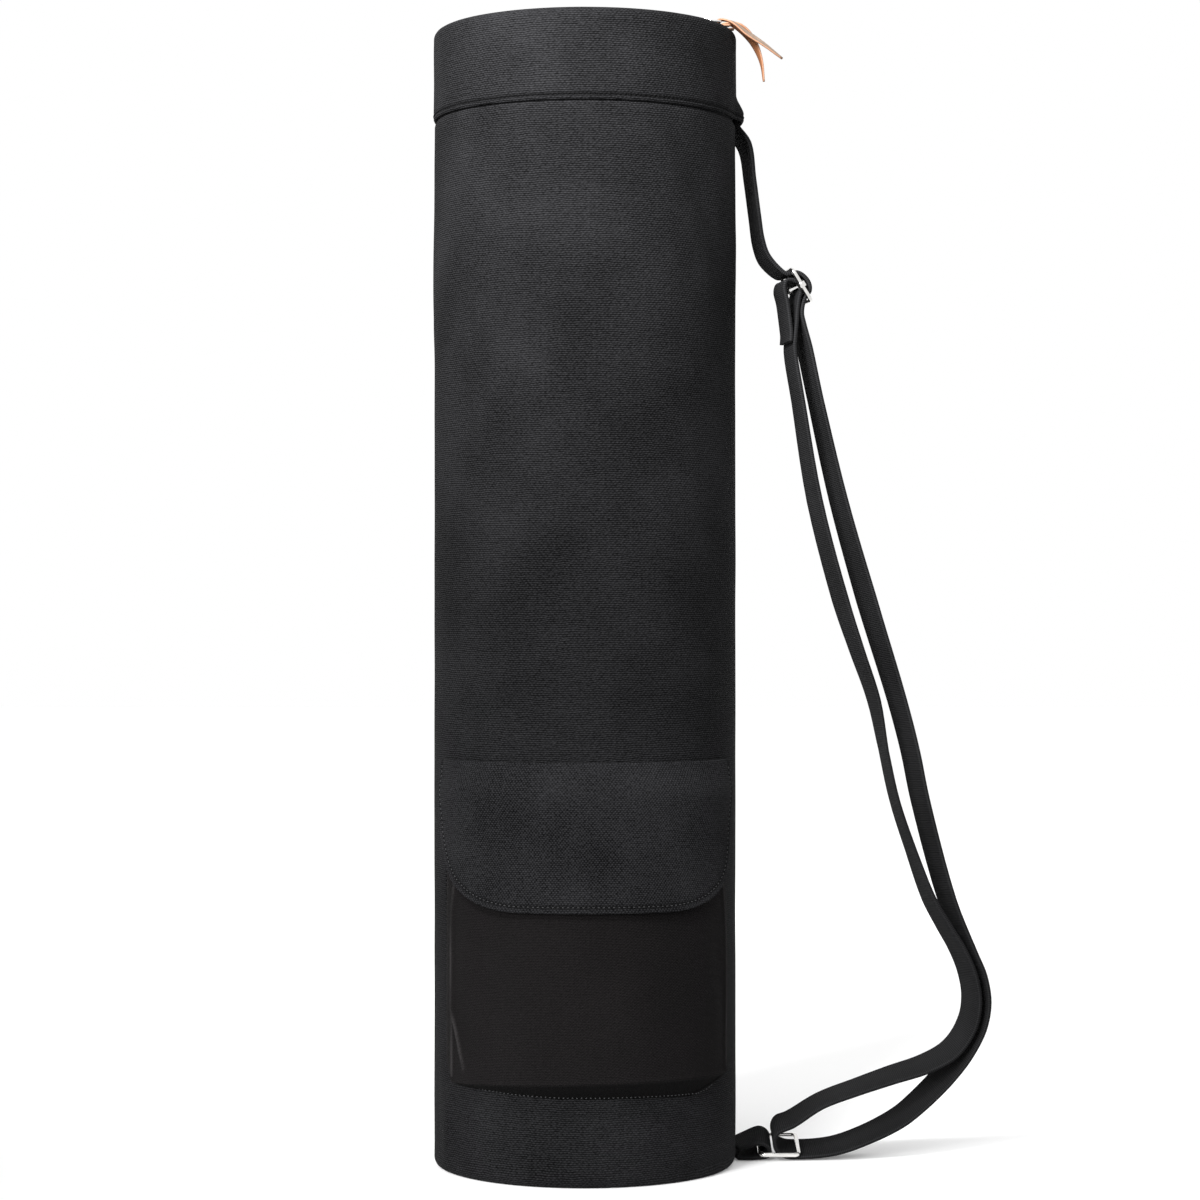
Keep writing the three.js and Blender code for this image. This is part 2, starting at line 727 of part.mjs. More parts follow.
function pocketHalfAngle(height) {
  const corner = clamp(1 - (height - POCKET_FLOOR) / POCKET_CORNER, 0, 1);
  const inset = POCKET_CORNER * 0.75 * (1 - Math.sqrt(1 - corner * corner * 0.98));
  return POCKET_HALF_ANGLE - inset / (BAG_RADIUS * DEGREE);
}

// How full the pocket stands at a share of the way from its middle to its side seam.
function pocketFullness(share) {
  const t = Math.min(Math.abs(share), 1);
  return Math.pow(1 - Math.pow(t, 3), 0.75);
}

// Shares across the pocket and the flap, closer together towards the sides.
function spread(count) {
  return Array.from({ length: count + 1 }, (_, i) => {
    const t = (2 * i) / count - 1;
    return Math.sign(t) * (1 - Math.pow(1 - Math.abs(t), 1.6));
  });
}

function pocketPouch() {
  const slope = POCKET_FLOOR_SLOPE;
  const rise = POCKET_TOP - POCKET_FLOOR;
  const heights = [
    POCKET_FLOOR,
    POCKET_FLOOR + slope * 0.5,
    POCKET_FLOOR + slope,
    ...[0.16, 0.26, 0.4, 0.55, 0.7, 0.85, 1].map((share) => POCKET_FLOOR + share * rise),
  ];
  const across = spread(22);
  const sideCloth = POCKET_CLOTH / (BAG_RADIUS * DEGREE);
  const outer = heights.map((height) =>
    across.map((share) => {
      const angle = POCKET_ANGLE + share * pocketHalfAngle(height);
      const stand = pocketDepth(height) * pocketFullness(share);
      return around(angle, bodyRadius(angle, height) + LAID_GAP + stand, height);
    }),
  );
  const inner = heights.map((height, row) =>
    across.map((share) => {
      const angle = POCKET_ANGLE + share * (pocketHalfAngle(height) - sideCloth);
      const lifted = mix(height + POCKET_CLOTH, height, clamp((row - 1) / 2, 0, 1));
      const depth = Math.max(0, pocketDepth(height) - POCKET_CLOTH);
      const stand = depth * pocketFullness(share);
      return around(angle, bodyRadius(angle, lifted) + LAID_GAP + stand, lifted);
    }),
  );
  return clothBody(outer, inner, false);
}

// The flap lies on the pocket: it leaves the body at its seam and stands off by the pocket's depth.
function flapStand(share, height) {
  const belowSeam = smooth((FLAP_SEAM - height) / (FLAP_SEAM - POCKET_TOP));
  const depth = pocketDepth(Math.min(height, POCKET_TOP)) + POCKET_CLOTH * 0.2 + FLAP_EASE;
  return belowSeam * (depth * pocketFullness(share) + FLAP_EASE);
}

// The flap spans less of the round where it stands further off, as cloth of one width does.
function flapHalfAngle(height) {
  return mix(FLAP_HALF_ANGLE, FLAP_LOWER_HALF_ANGLE, smooth((FLAP_SEAM - height) / (FLAP_DROP * 0.7)));
}

function pocketFlap() {
  const across = spread(22);
  const cornerShare = 1 - FLAP_CORNER / (BAG_RADIUS * FLAP_HALF_ANGLE * DEGREE);
  const drop = (share) => {
    const past = clamp((Math.abs(share) - cornerShare) / (1 - cornerShare), 0, 1);
    return FLAP_DROP - FLAP_CORNER * (1 - Math.sqrt(1 - past * past * 0.98));
  };
  const downs = [1, 0.8, 0.6, 0.4, 0.25, 0.15, 0.07, 0];
  const face = (cloth) =>
    downs.map((down) =>
      across.map((share) => {
        const height = FLAP_SEAM - down * drop(share);
        const halfAngle = flapHalfAngle(height);
        const angle = FLAP_ANGLE + share * halfAngle;
        const stand = flapStand((share * halfAngle) / FLAP_HALF_ANGLE, height);
        return around(angle, bodyRadius(angle, height) + LAID_GAP + stand + cloth, height);
      }),
    );
  return clothBody(face(FLAP_CLOTH), face(0), false);
}

// Stations of webbing through rows of middles, in the plane across the bag at STRAP_DEPTH. Lean and lift
// are how far the far edge stands aside and up from the near one, as shares of the width.
function webbingStations(rows) {
  const curve = new THREE.CatmullRomCurve3(
    rows.map(({ x, z }) => new THREE.Vector3(x, STRAP_DEPTH, z)),
    false,
    "centripetal",
  );
  const stations = [];
  const last = rows.length - 1;
  for (let i = 0; i < last; i++) {
    const span = Math.hypot(rows[i + 1].x - rows[i].x, rows[i + 1].z - rows[i].z);
    const parts = span > 24 ? 2 : 1;
    for (let part = 0; part < parts; part++) stations.push(i + part / parts);
  }
  stations.push(last);
  return stations.map((place) => {
    const row = Math.min(Math.floor(place), last - 1);
    const share = place - row;
    const value = (key) => mix(rows[row][key] ?? 0, rows[row + 1][key] ?? 0, share);
    return {
      middle: curve.getPoint(place / last),
      along: curve.getTangent(place / last),
      across: new THREE.Vector3(value("lean"), 1, value("lift")).normalize(),
      width: WEBBING_WIDTH,
      thickness: WEBBING_THICKNESS,
      cup: value("cup"),
    };
  });
}

// Turns a strand's shares into rows. Side is 1 where the inside of the loop is to the left of the way the
// rows run, seen from the front, and -1 where it is to the right.
function strandRows(table, side) {
  const places = table.map(({ out, up }) => ({
    x: BAG_RADIUS + out * STRAP_REACH,
    z: up * SLIDE_HEIGHT,
  }));
  return places.map(({ x, z }, i) => {
    const before = places[Math.max(i - 1, 0)];
    const after = places[Math.min(i + 1, places.length - 1)];
    const run = Math.hypot(after.x - before.x, after.z - before.z);
    const inX = (-side * (after.z - before.z)) / run;
    const inZ = (side * (after.x - before.x)) / run;
    return { x, z, lean: table[i].roll * inX, lift: table[i].roll * inZ, cup: 0 };
  });
}

// The slide's own directions: its long way points down and outward, and its face outward and up.
const slideWay = { x: Math.sin(SLIDE_TILT * DEGREE), z: -Math.cos(SLIDE_TILT * DEGREE) };
const slideFace = { x: Math.cos(SLIDE_TILT * DEGREE), z: Math.sin(SLIDE_TILT * DEGREE) };
const slideLean = -Math.tan(SLIDE_LEAN * DEGREE);

function slidePoint(way, face) {
  return {
    x: BAG_RADIUS + SLIDE_OUT + way * slideWay.x + face * slideFace.x,
    z: SLIDE_HEIGHT + way * slideWay.z + face * slideFace.z,
    lean: slideLean,
    lift: 0,
    cup: 0,
  };
}

// Half a turn of webbing round the slide's bar, from its upper slot over its face to its lower slot.
function turnOverBar(radius) {
  const steps = 6;
  return Array.from({ length: steps + 1 }, (_, i) => {
    const turn = Math.PI * (1 - i / steps);
    return slidePoint(radius * Math.cos(turn), radius * Math.sin(turn));
  });
}

const ringMiddle = { x: BAG_RADIUS + RING_OUT, z: RING_HEIGHT };
const ringBarOut = (RING_LENGTH - WIRE) / 2;
const ringLift = Math.tan(RING_LIFT * DEGREE);
const wrapRadius = WIRE / 2 + SEAM_GAP + WEBBING_THICKNESS / 2;
const barWrapRadius = BAR_WIRE / 2 + SEAM_GAP + WEBBING_THICKNESS / 2;
const overWrapRadius = barWrapRadius + WEBBING_THICKNESS + SEAM_GAP;

// The strap is one length of webbing: sewn in under the collar, over the slide's bar, down through the
// lower ring, and back up to the slide's bar, where its end is turned over and sewn to itself.
function shoulderStrap() {
  const sewnRadius = NECK_RADIUS + SEAM_GAP + WEBBING_THICKNESS / 2;
  const sewnX = Math.sqrt(sewnRadius ** 2 - STRAP_DEPTH ** 2);
  const sewnLean = -STRAP_DEPTH / sewnX;
  const rows = [
    { x: sewnX, z: COLLAR_EDGE + STRAP_TUCK, lean: sewnLean },
    { x: sewnX + 0.3, z: COLLAR_EDGE, lean: sewnLean },
    ...strandRows(LEAD, -1),
    slidePoint(-13.5, -4.6),
    slidePoint(-9, -3),
    ...turnOverBar(overWrapRadius),
    slidePoint(overWrapRadius + 0.6, -3.5),
    slidePoint(overWrapRadius + 4, -6.5),
    ...strandRows(OUTER_STRAND, -1),
    ringPoint(ringBarOut, -wrapRadius),
    ringPoint(ringBarOut - 8, -wrapRadius + 0.6),
    ringPoint(ringBarOut - 13, 1),
    ringPoint(ringBarOut - 14.6, 6.5),
    ringPoint(ringBarOut - 12.5, 11.5),
    ...strandRows(INNER_STRAND.toReversed(), 1),
    slidePoint(11, -12.6),
    slidePoint(6, -7.4),
    slidePoint(barWrapRadius + 0.2, -3),
    ...turnOverBar(barWrapRadius).toReversed(),
    slidePoint(-barWrapRadius + 0.4, -3.4),
    slidePoint(-barWrapRadius + 3, -8.4),
    slidePoint(-barWrapRadius + 9, -13.5),
    slidePoint(-barWrapRadius + TAIL_LENGTH, -23.6),
  ];
  return ribbon(webbingStations(rows));
}

function ringPoint(out, up) {
  return { x: ringMiddle.x + out, z: ringMiddle.z + up, lean: 0, lift: ringLift, cup: 0 };
}

// The short tab that holds the lower ring: webbing folded round the ring's near bar, both ends sewn into
// the bag's bottom seam.
function strapTab() {
  const sewnRadius = BAG_RADIUS + SEAM_GAP;
  const sewnX = Math.sqrt(sewnRadius ** 2 - STRAP_DEPTH ** 2);
  const sewnLean = -STRAP_DEPTH / sewnX;
  const floor = WEBBING_THICKNESS / 2 + SEAM_GAP;
  const bar = -ringBarOut;
  const round = wrapRadius + SEAM_GAP / 2;
  const wrap = [-90, -54, -18, 18, 54, 90].map((turn) =>
    ringPoint(bar + round * Math.cos(turn * DEGREE), round * Math.sin(turn * DEGREE)),
  );
  const rows = [
    { x: sewnX + SEAM_GAP, z: floor, lean: sewnLean },
    { x: mix(sewnX, ringMiddle.x + bar, 0.45), z: floor + 0.8, lean: sewnLean / 2, lift: ringLift / 3 },
    ...wrap,
    { x: mix(sewnX, ringMiddle.x + bar, 0.5), z: floor + 7.4, lean: sewnLean / 2, lift: ringLift / 2 },
    { x: sewnX + SEAM_GAP, z: floor + 5.6, lean: sewnLean },
  ];
  return ribbon(webbingStations(rows));
}

function lowerRing() {
  const width = WEBBING_WIDTH + 2 * (WIRE_PLAY + WIRE);
  const ring = wireLoop(RING_LENGTH, width, WIRE, 3.2);
  ring.rotateX(RING_LIFT * DEGREE);
  ring.translate(ringMiddle.x, STRAP_DEPTH, ringMiddle.z);
  return ring;
}

// Carries a form made flat, with X the slide's long way and Y its width, to the slide's place.
function placeAtSlide(geometry) {
  const width = new THREE.Vector3(slideLean, 1, 0).normalize();
  const way = new THREE.Vector3(slideWay.x, 0, slideWay.z);
  const face = new THREE.Vector3().crossVectors(way, width).normalize();
  way.crossVectors(width, face);
  const place = new THREE.Matrix4().makeBasis(way, width, face);
  place.setPosition(BAG_RADIUS + SLIDE_OUT, STRAP_DEPTH, SLIDE_HEIGHT);
  geometry.applyMatrix4(place);
  return geometry;
}

const slideWidth = WEBBING_WIDTH + 2 * (WIRE_PLAY + WIRE + 1);

function slideFrame() {
  return placeAtSlide(wireLoop(SLIDE_LENGTH, slideWidth, WIRE, 3.2));
}

// The slide's middle bar, with a sleeve at each end that runs on the frame's side wire.
function slideBar() {
  const reach = slideWidth / 2 - WIRE / 2;
  const rod = new THREE.CylinderGeometry(BAR_WIRE / 2, BAR_WIRE / 2, 2 * reach - WIRE, 12);
  let solid = solidOf(rod);
  for (const side of [-1, 1]) {
    const sleeve = new THREE.CylinderGeometry(BAR_SLEEVE / 2, BAR_SLEEVE / 2, BAR_WIRE * 1.4, 14);
    sleeve.rotateZ(Math.PI / 2);
    sleeve.translate(0, side * reach, 0);
    solid = solid.add(solidOf(sleeve));
  }
  for (const side of [-1, 1]) {
    const bore = new THREE.CylinderGeometry(WIRE / 2 + 0.3, WIRE / 2 + 0.3, BAR_WIRE * 3, 14);
    bore.rotateZ(Math.PI / 2);
    bore.translate(0, side * reach, 0);
    solid = solid.subtract(solidOf(bore));
  }
  return placeAtSlide(geometryOf(solid));
}

add("tube_body", tubeBody(), materials.canvas);
add("base_panel", basePanel(), materials.canvas);
add("top_collar", topCollar(), materials.canvas);
add("top_lid", topLid(), materials.canvas);
add("lid_hinge", lidHinge(), materials.canvas);
add("zip_tape", zipTape(), materials.webbing);
addPulls();
add("pocket_pouch", pocketPouch(), materials.canvas);
add("pocket_flap", pocketFlap(), materials.canvas);
add("shoulder_strap", shoulderStrap(), materials.webbing);
add("slide_frame", slideFrame(), materials.metal);
add("slide_bar", slideBar(), materials.metal);
add("lower_ring", lowerRing(), materials.metal);
add("strap_tab", strapTab(), materials.webbing);

export default bag;
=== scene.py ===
"""Looks for a round canvas bag for a rolled yoga mat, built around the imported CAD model.

Measures are millimetres, as in the CAD source, and turn to metres where a mesh is made. +Z is up, the
front faces -Y and the strap is at +X. Angles round the bag are degrees from the front, positive
towards the strap.
"""

import math

import bpy
import numpy as np
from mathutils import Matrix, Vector


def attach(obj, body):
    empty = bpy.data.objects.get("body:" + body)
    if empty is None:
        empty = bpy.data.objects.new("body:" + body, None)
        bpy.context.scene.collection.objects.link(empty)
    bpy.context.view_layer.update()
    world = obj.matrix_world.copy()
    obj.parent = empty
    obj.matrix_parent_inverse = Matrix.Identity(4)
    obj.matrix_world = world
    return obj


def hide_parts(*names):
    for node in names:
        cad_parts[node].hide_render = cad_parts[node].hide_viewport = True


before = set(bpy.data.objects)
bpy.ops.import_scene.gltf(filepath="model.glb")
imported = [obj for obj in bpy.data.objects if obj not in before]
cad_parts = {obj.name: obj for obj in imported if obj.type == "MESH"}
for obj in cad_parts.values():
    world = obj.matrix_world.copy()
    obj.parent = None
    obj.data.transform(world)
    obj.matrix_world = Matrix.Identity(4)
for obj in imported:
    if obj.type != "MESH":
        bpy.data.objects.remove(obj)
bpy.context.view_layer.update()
PER_METRE = 1000
MM = 1 / PER_METRE
UP = np.array([0.0, 0.0, 1.0])

# The bag's measures. They are those of the CAD source, but for NECK_RUN, FLAP_EASE, STRAP_TUCK and the
# measures of the softer forms that only this file has: the pocket's edges, the flap's corners, the strap's
# turns near its slide and the tab's loop.
BAG_RADIUS = 90
BAG_HEIGHT = 675
CLOTH = 1.8
SEAM_GAP = 0.35
LAID_GAP = 0.7
HEM_TURN = 4
HEM_RISE = 4.5
HEM_LIFT = 3
HEM_LIFT_ANGLE = 66
HEM_LIFT_SPREAD = 26
BASE_THICKNESS = 3
NECK_RUN = 4
COLLAR_HEIGHT = 53
COLLAR_PROUD = 0.5
RIM_ROUND = 4.5
RIM_LIP = 10
ZIP_WIDTH = 9
ZIP_UNDERLAP = 3.5
TAPE_THICKNESS = 1
COIL_WIDTH = 4.4
COIL_HEIGHT = 1.2
LID_SAG = 1.5
HINGE_ANGLE = -90
HINGE_SPREAD = 40
SLIDER_LENGTH = 11
SLIDER_WIDTH = 7.5
SLIDER_HEIGHT = 2.2
SLIDER_BEVEL = 0.35
BRIDGE_HEIGHT = 4.6
BRIDGE_SPAN = 6.8
BRIDGE_EYE = 3.4
PULL_RING_LENGTH = 9
PULL_RING_WIDTH = 9.6
PULL_RING_BEND = 1.4
PULL_RING_WIRE = 1.2
PULL_WIDTH = 9
PULL_NECK = 5
PULL_THICKNESS = 1.3
PULL_FOLD = 6
PULL_LENGTH = 46
POCKET_LEFT_EDGE = -50
POCKET_RIGHT_EDGE = 55
POCKET_FLOOR = 50
POCKET_TOP = 226
POCKET_DEPTH = 21
POCKET_MOUTH_DEPTH = 9
POCKET_CLOTH = 1.8
POCKET_EDGE_STAND = 0.42
POCKET_FLOOR_SLOPE = 13
FLAP_ANGLE = 0.5
FLAP_HALF_ANGLE = 66.5
FLAP_LOWER_HALF_ANGLE = 56
FLAP_SEAM = 243
FLAP_DROP = 84
FLAP_CORNER_LEFT = (68, 48)
FLAP_CORNER_RIGHT = (60, 36)
FLAP_CLOTH = 2.2
FLAP_EASE = 1.1
FLAP_RISE_RUN = 21
WEBBING_WIDTH = 30
WEBBING_THICKNESS = 2.2
STRAP_DEPTH = 18
STRAP_REACH = 149
STRAP_TUCK = 4
WIRE = 2.6
WIRE_PLAY = 1
SLIDE_OUT = 37
SLIDE_HEIGHT = 525
SLIDE_LENGTH = 24.5
SLIDE_TILT = 32.4
SLIDE_LEAN = 8.5
BAR_WIRE = 2.4
BAR_SLEEVE = 5
RING_OUT = 26.5
RING_LENGTH = 25.8
RING_HEIGHT = 7.3
RING_LIFT = 11
CORNER_BEND = 3.2
TURN_UPPER = 8.9
TURN_LOWER = 7.2
TURN_FACE = 5.6
TAB_REACH = 6.3
TAB_RISE = 5.4

COLLAR_EDGE = BAG_HEIGHT - COLLAR_HEIGHT
COLLAR_RADIUS = BAG_RADIUS + COLLAR_PROUD
NECK_RADIUS = COLLAR_RADIUS - CLOTH - SEAM_GAP
BASE_RADIUS = BAG_RADIUS - HEM_TURN - CLOTH - SEAM_GAP
STRAP_ANGLE = 90 + math.degrees(math.asin(STRAP_DEPTH / BAG_RADIUS))
ZIP_RADIUS = BAG_RADIUS - RIM_LIP - ZIP_WIDTH / 2
TAPE_TOP = BAG_HEIGHT - CLOTH - SEAM_GAP
SLIDER_FLOOR = TAPE_TOP + COIL_HEIGHT + SEAM_GAP
SLIDER_TOP = SLIDER_FLOOR + SLIDER_HEIGHT
RING_TOP_HEIGHT = SLIDER_TOP + BRIDGE_EYE / 2

# Near the foot the fine folds fade out
FOOT_CALM = 12

# Folds: upper angle and height, lower angle and height, width and rise. A negative rise is a valley.
BODY_FOLDS = [
    (-44, 607.5, -70, 499.5, 11.7, 1.26), (-30, 594, -52, 445.5, 14.4, -0.9),
    (45, 597.4, 72, 499.5, 11.7, -1.35), (60, 600.8, 84, 533.3, 10.8, 0.9), (44, 40.5, 6, 20.3, 8.1, 0.9),
    (-66, 67.5, -64, 16.9, 7.2, 1.08), (12, 472.5, 8, 303.8, 27, 0.72), (150, 540, 165, 202.5, 18, -0.72),
    (-150, 580.5, -128, 405, 16.2, 0.81),
]
FINE_BODY_FOLDS = [
    (-54, 590, -62, 470, 5, -0.7), (-40, 604, -50, 560, 5, 0.5), (36, 605, 60, 545, 6, -0.9),
    (50, 606, 70, 560, 4.5, 0.6), (-22, 48, -50, 14, 6, 0.8), (-2, 46, -20, 12, 6, -0.5),
    (12, 46, -2, 16, 6, 0.6), (34, 46, 16, 10, 7, 0.8), (46, 52, 34, 14, 5, -0.6),
    (-61, 46, -65, 6, 4, 0.9), (-56, 44, -58, 10, 4, -0.6), (-12, 258, 18, 249, 6, -0.9),
    (30, 300, 44, 252, 9, 0.6), (-64, 330, -70, 250, 7, 0.7), (20, 420, 4, 300, 10, -0.4),
    (96, 600, 120, 520, 9, -0.9), (108, 600, 134, 500, 9, 0.8), (-100, 590, -84, 500, 10, 0.8),
    (-124, 600, -140, 500, 10, -0.8), (170, 120, 150, 20, 9, 0.9), (-170, 90, -150, 14, 8, 0.8),
    (110, 60, 96, 10, 6, 0.7),
]
COLLAR_FOLDS = [
    (2, 664, 24, 640, 5, 0.5), (14, 668, 34, 646, 5, -0.45), (40, 664, 56, 636, 5, 0.5),
    (-30, 662, -44, 630, 6, -0.35), (-58, 664, -66, 632, 5, 0.4), (130, 664, 118, 634, 6, 0.5),
    (-140, 664, -128, 634, 6, -0.5),
]

# The strap's strands below the slide and its lead above it: out as a share of STRAP_REACH beyond the
# bag's side, up as a share of SLIDE_HEIGHT, and the far edge's lean into the loop as a share of its width
OUTER_STRAND = [
    (0.264, 0.956, 0.17), (0.288, 0.928, 0.2), (0.331, 0.87, 0.2), (0.424, 0.755, 0.26),
    (0.538, 0.64, 0.31), (0.661, 0.525, 0.27), (0.714, 0.467, 0.26), (0.755, 0.41, 0.26),
    (0.864, 0.295, 0.25), (0.945, 0.237, 0.26), (0.985, 0.209, 0.27), (1, 0.18, 0.28), (0.981, 0.151, 0.29),
    (0.923, 0.12, 0.3), (0.848, 0.093, 0.3), (0.751, 0.065, 0.27), (0.665, 0.045, 0.24),
    (0.528, 0.025, 0.2), (0.4, 0.0125, 0.19),
]
INNER_STRAND = [
    (0.228, 0.928, 0.15), (0.26, 0.87, 0.15), (0.327, 0.755, 0.2), (0.432, 0.64, 0.22),
    (0.499, 0.582, 0.18), (0.567, 0.525, 0.14), (0.607, 0.467, 0.06), (0.651, 0.41, 0.07),
    (0.718, 0.352, 0.1), (0.793, 0.295, 0.17), (0.85, 0.266, 0.21), (0.909, 0.237, 0.24),
    (0.948, 0.209, 0.26), (0.963, 0.18, 0.27), (0.944, 0.152, 0.27), (0.878, 0.124, 0.25),
    (0.775, 0.107, 0.22), (0.637, 0.094, 0.19), (0.495, 0.08, 0.15), (0.347, 0.064, 0.14),
    (0.228, 0.043, 0.17),
]
LEAD = [
    (0.043, 1.163, 0.17), (0.065, 1.123, 0.14), (0.084, 1.082, 0.14), (0.1, 1.051, 0.15),
    (0.125, 1.032, 0.15),
]

# The strap's rows close to the slide: millimetres down its frame from the bar and out of its face
LEAD_TO_TURN = [(-11.3, -3.6), (-9.4, -1.7)]
TURN_TO_OUTER = [(10.4, -4.3), (14.9, -7.9)]
INNER_TO_BAR = [(24.3, -18.6), (17.4, -13.2), (10.6, -8.2), (5.7, -3.9)]
TAIL = [(-5.2, -1.9), (-6.8, -5), (-4, -8.4), (3.5, -11.2), (11.4, -14.8), (17.3, -17.6), (21.3, -19.6),
        (25.4, -22.5)]
# The strap's turn through the lower ring: out as a share of the way to its outer bar, and up
RING_TURN = [(1, -2.75), (0.31, -2.15), (-0.12, 1), (-0.26, 6.5), (-0.08, 11.5)]

# The leather pulls: name, the slider's angle, the leather's heading, how far its near edge rolls down, and
# its path as shares of PULL_LENGTH
PULLS = [
    ("1", 73, 101, 34, [(0.16, 0.03), (0.35, 0.16), (0.6, 0.31), (0.83, 0.47)]),
    ("2", 84, 92, -34, [(0.14, 0.02), (0.3, 0.14), (0.42, 0.32), (0.49, 0.52), (0.52, 0.74)]),
]


# Measures that the forms share
def smooth(share):
    t = np.clip(share, 0, 1)
    return t * t * (3 - 2 * t)


def mix(a, b, share):
    return a + (b - a) * share


def apart(a, b):
    return np.abs((a - b + 540) % 360 - 180)


def hump(offset, width):
    return np.exp(-0.5 * (offset / width) ** 2)


def around(angle, radius, height):
    """Points at angles from the front, distances from the bag's axis and heights."""
    angle, radius, height = np.broadcast_arrays(angle, radius, height)
    turn = np.radians(angle)
    return np.stack([radius * np.sin(turn), -radius * np.cos(turn), height], axis=-1)


def around_flat(u, radius, height):
    """The same, where u is the run round from the front on the body's cloth."""
    return around(np.degrees(np.asarray(u) / BAG_RADIUS), radius, height)


def spans(start, *ends):
    """Even steps from a start to each end in turn, given as pairs of an end and a count of points."""
    found = []
    for end, count in ends:
        found.append(np.linspace(start, end, count)[:-1])
        start = end
    return np.concatenate(found + [[start]])


def run_along(points):
    """How far along a line each of its points lies."""
    return np.concatenate([[0], np.cumsum(np.linalg.norm(np.diff(points, axis=0), axis=1))])


def waves(u, v, scale, seed):
    """Gentle unevenness over flat cloth, from -1 to 1, the same on every run."""
    draw = np.random.default_rng(seed)
    total = np.zeros(np.broadcast(u, v).shape)
    count = 9
    for _ in range(count):
        way = draw.uniform(0, 2 * math.pi)
        size = scale * draw.uniform(0.6, 1.8)
        phase = draw.uniform(0, 2 * math.pi)
        total += np.sin((u * math.cos(way) + v * math.sin(way)) * 2 * math.pi / size + phase)
    return total / count


def folds(table, angle, height):
    rise = np.zeros(np.broadcast(angle, height).shape)
    for upper_angle, upper, lower_angle, lower, width, lift in table:
        along = np.clip((upper - height) / (upper - lower), 0, 1)
        line = mix(upper_angle, lower_angle, along)
        aside = np.radians(apart(angle, line)) * BAG_RADIUS
        beyond = height - mix(upper, lower, along)
        fade = np.sqrt(np.sin(np.pi * np.clip(along, 0.06, 0.94)))
        rise = rise + lift * fade * hump(np.hypot(aside, beyond), width)
    return rise


def hem_rise(angle):
    return HEM_RISE + HEM_LIFT * hump(apart(angle, HEM_LIFT_ANGLE), HEM_LIFT_SPREAD)


def quarter_inset(depth, turn):
    return depth * (1 - np.sqrt(1 - turn * turn))


def body_radius(angle, height):
    """The body's outer radius with its folds."""
    hem = hem_rise(angle)
    inset = quarter_inset(HEM_TURN, np.clip(1 - height / hem, 0, 1))
    neck = smooth((height - (COLLAR_EDGE - NECK_RUN)) / NECK_RUN)
    calm = smooth(height / FOOT_CALM) * (1 - neck)
    u = np.radians(angle) * BAG_RADIUS
    soft = folds(BODY_FOLDS, angle, height) * (1 - neck)
    fine = folds(FINE_BODY_FOLDS, angle, height) + 0.22 * waves(u, height, 46, 3)
    return BAG_RADIUS - inset + soft + fine * calm - (BAG_RADIUS - NECK_RADIUS) * neck


def body_inner(angle, height):
    hem = hem_rise(angle)
    turn = np.clip(1 - (height - CLOTH) / (hem - CLOTH), 0, 1)
    low = BAG_RADIUS - CLOTH - quarter_inset(HEM_TURN, turn)
    return np.where(height < hem, low, body_radius(angle, height) - CLOTH)


# Meshes
def make_piece(name, points, faces, uvs=None, slots=None, smoothing=True, seam=None):
    """A mesh object from points in millimetres. uvs holds a pair for each corner of each face. The painted
    light argument holds, for each of the first points, painted shade above 0, along a sewn line or on the
    pocket's lower gusset, and a painted highlight below 0, on an edge or a crease."""
    mesh = bpy.data.meshes.new(name)
    faces = [tuple(int(i) for i in face) for face in faces]
    mesh.from_pydata((np.asarray(points, dtype=float) * MM).tolist(), [], faces)
    if uvs is not None:
        layer = mesh.uv_layers.new(name="cloth")
        layer.data.foreach_set("uv", (np.asarray(uvs, dtype=np.float32).reshape(-1) * MM))
    if slots is not None:
        mesh.polygons.foreach_set("material_index", np.asarray(slots, dtype=np.int32))
    if seam is not None:
        depth = np.zeros(len(mesh.vertices), dtype=np.float32)
        depth[:seam.size] = seam.reshape(-1)
        mesh.attributes.new("seam", "FLOAT", "POINT").data.foreach_set("value", depth)
    mesh.validate()
    obj = bpy.data.objects.new(name, mesh)
    bpy.context.scene.collection.objects.link(obj)
    if smoothing:
        mesh.polygons.foreach_set("use_smooth", [True] * len(mesh.polygons))
    mesh.update()
    return obj


def add(name, mesh, material, slot_name, *nodes, **extra):
    """Makes a piece from its points, faces and flat places, with its material or materials, its body and the
    CAD nodes that it stands for. slot_name is not used."""
    obj = make_piece(name, *mesh, **extra)
    for each in material if isinstance(material, list) else [material]:
        obj.data.materials.append(each)
    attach(obj, "root")
    if nodes:
        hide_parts(*nodes)
    return obj


def quads(index, uv, flip=False):
    """Faces and their flat places from a grid of point numbers and a grid of flat places."""
    corners = [(slice(None, -1), slice(None, -1)), (slice(None, -1), slice(1, None)),
               (slice(1, None), slice(1, None)), (slice(1, None), slice(None, -1))]
    if flip:
        corners = corners[::-1]
    faces = np.stack([index[c] for c in corners], axis=-1).reshape(-1, 4)
    places = np.stack([uv[c] for c in corners], axis=-2).reshape(-1, 4, 2)
    return faces, places


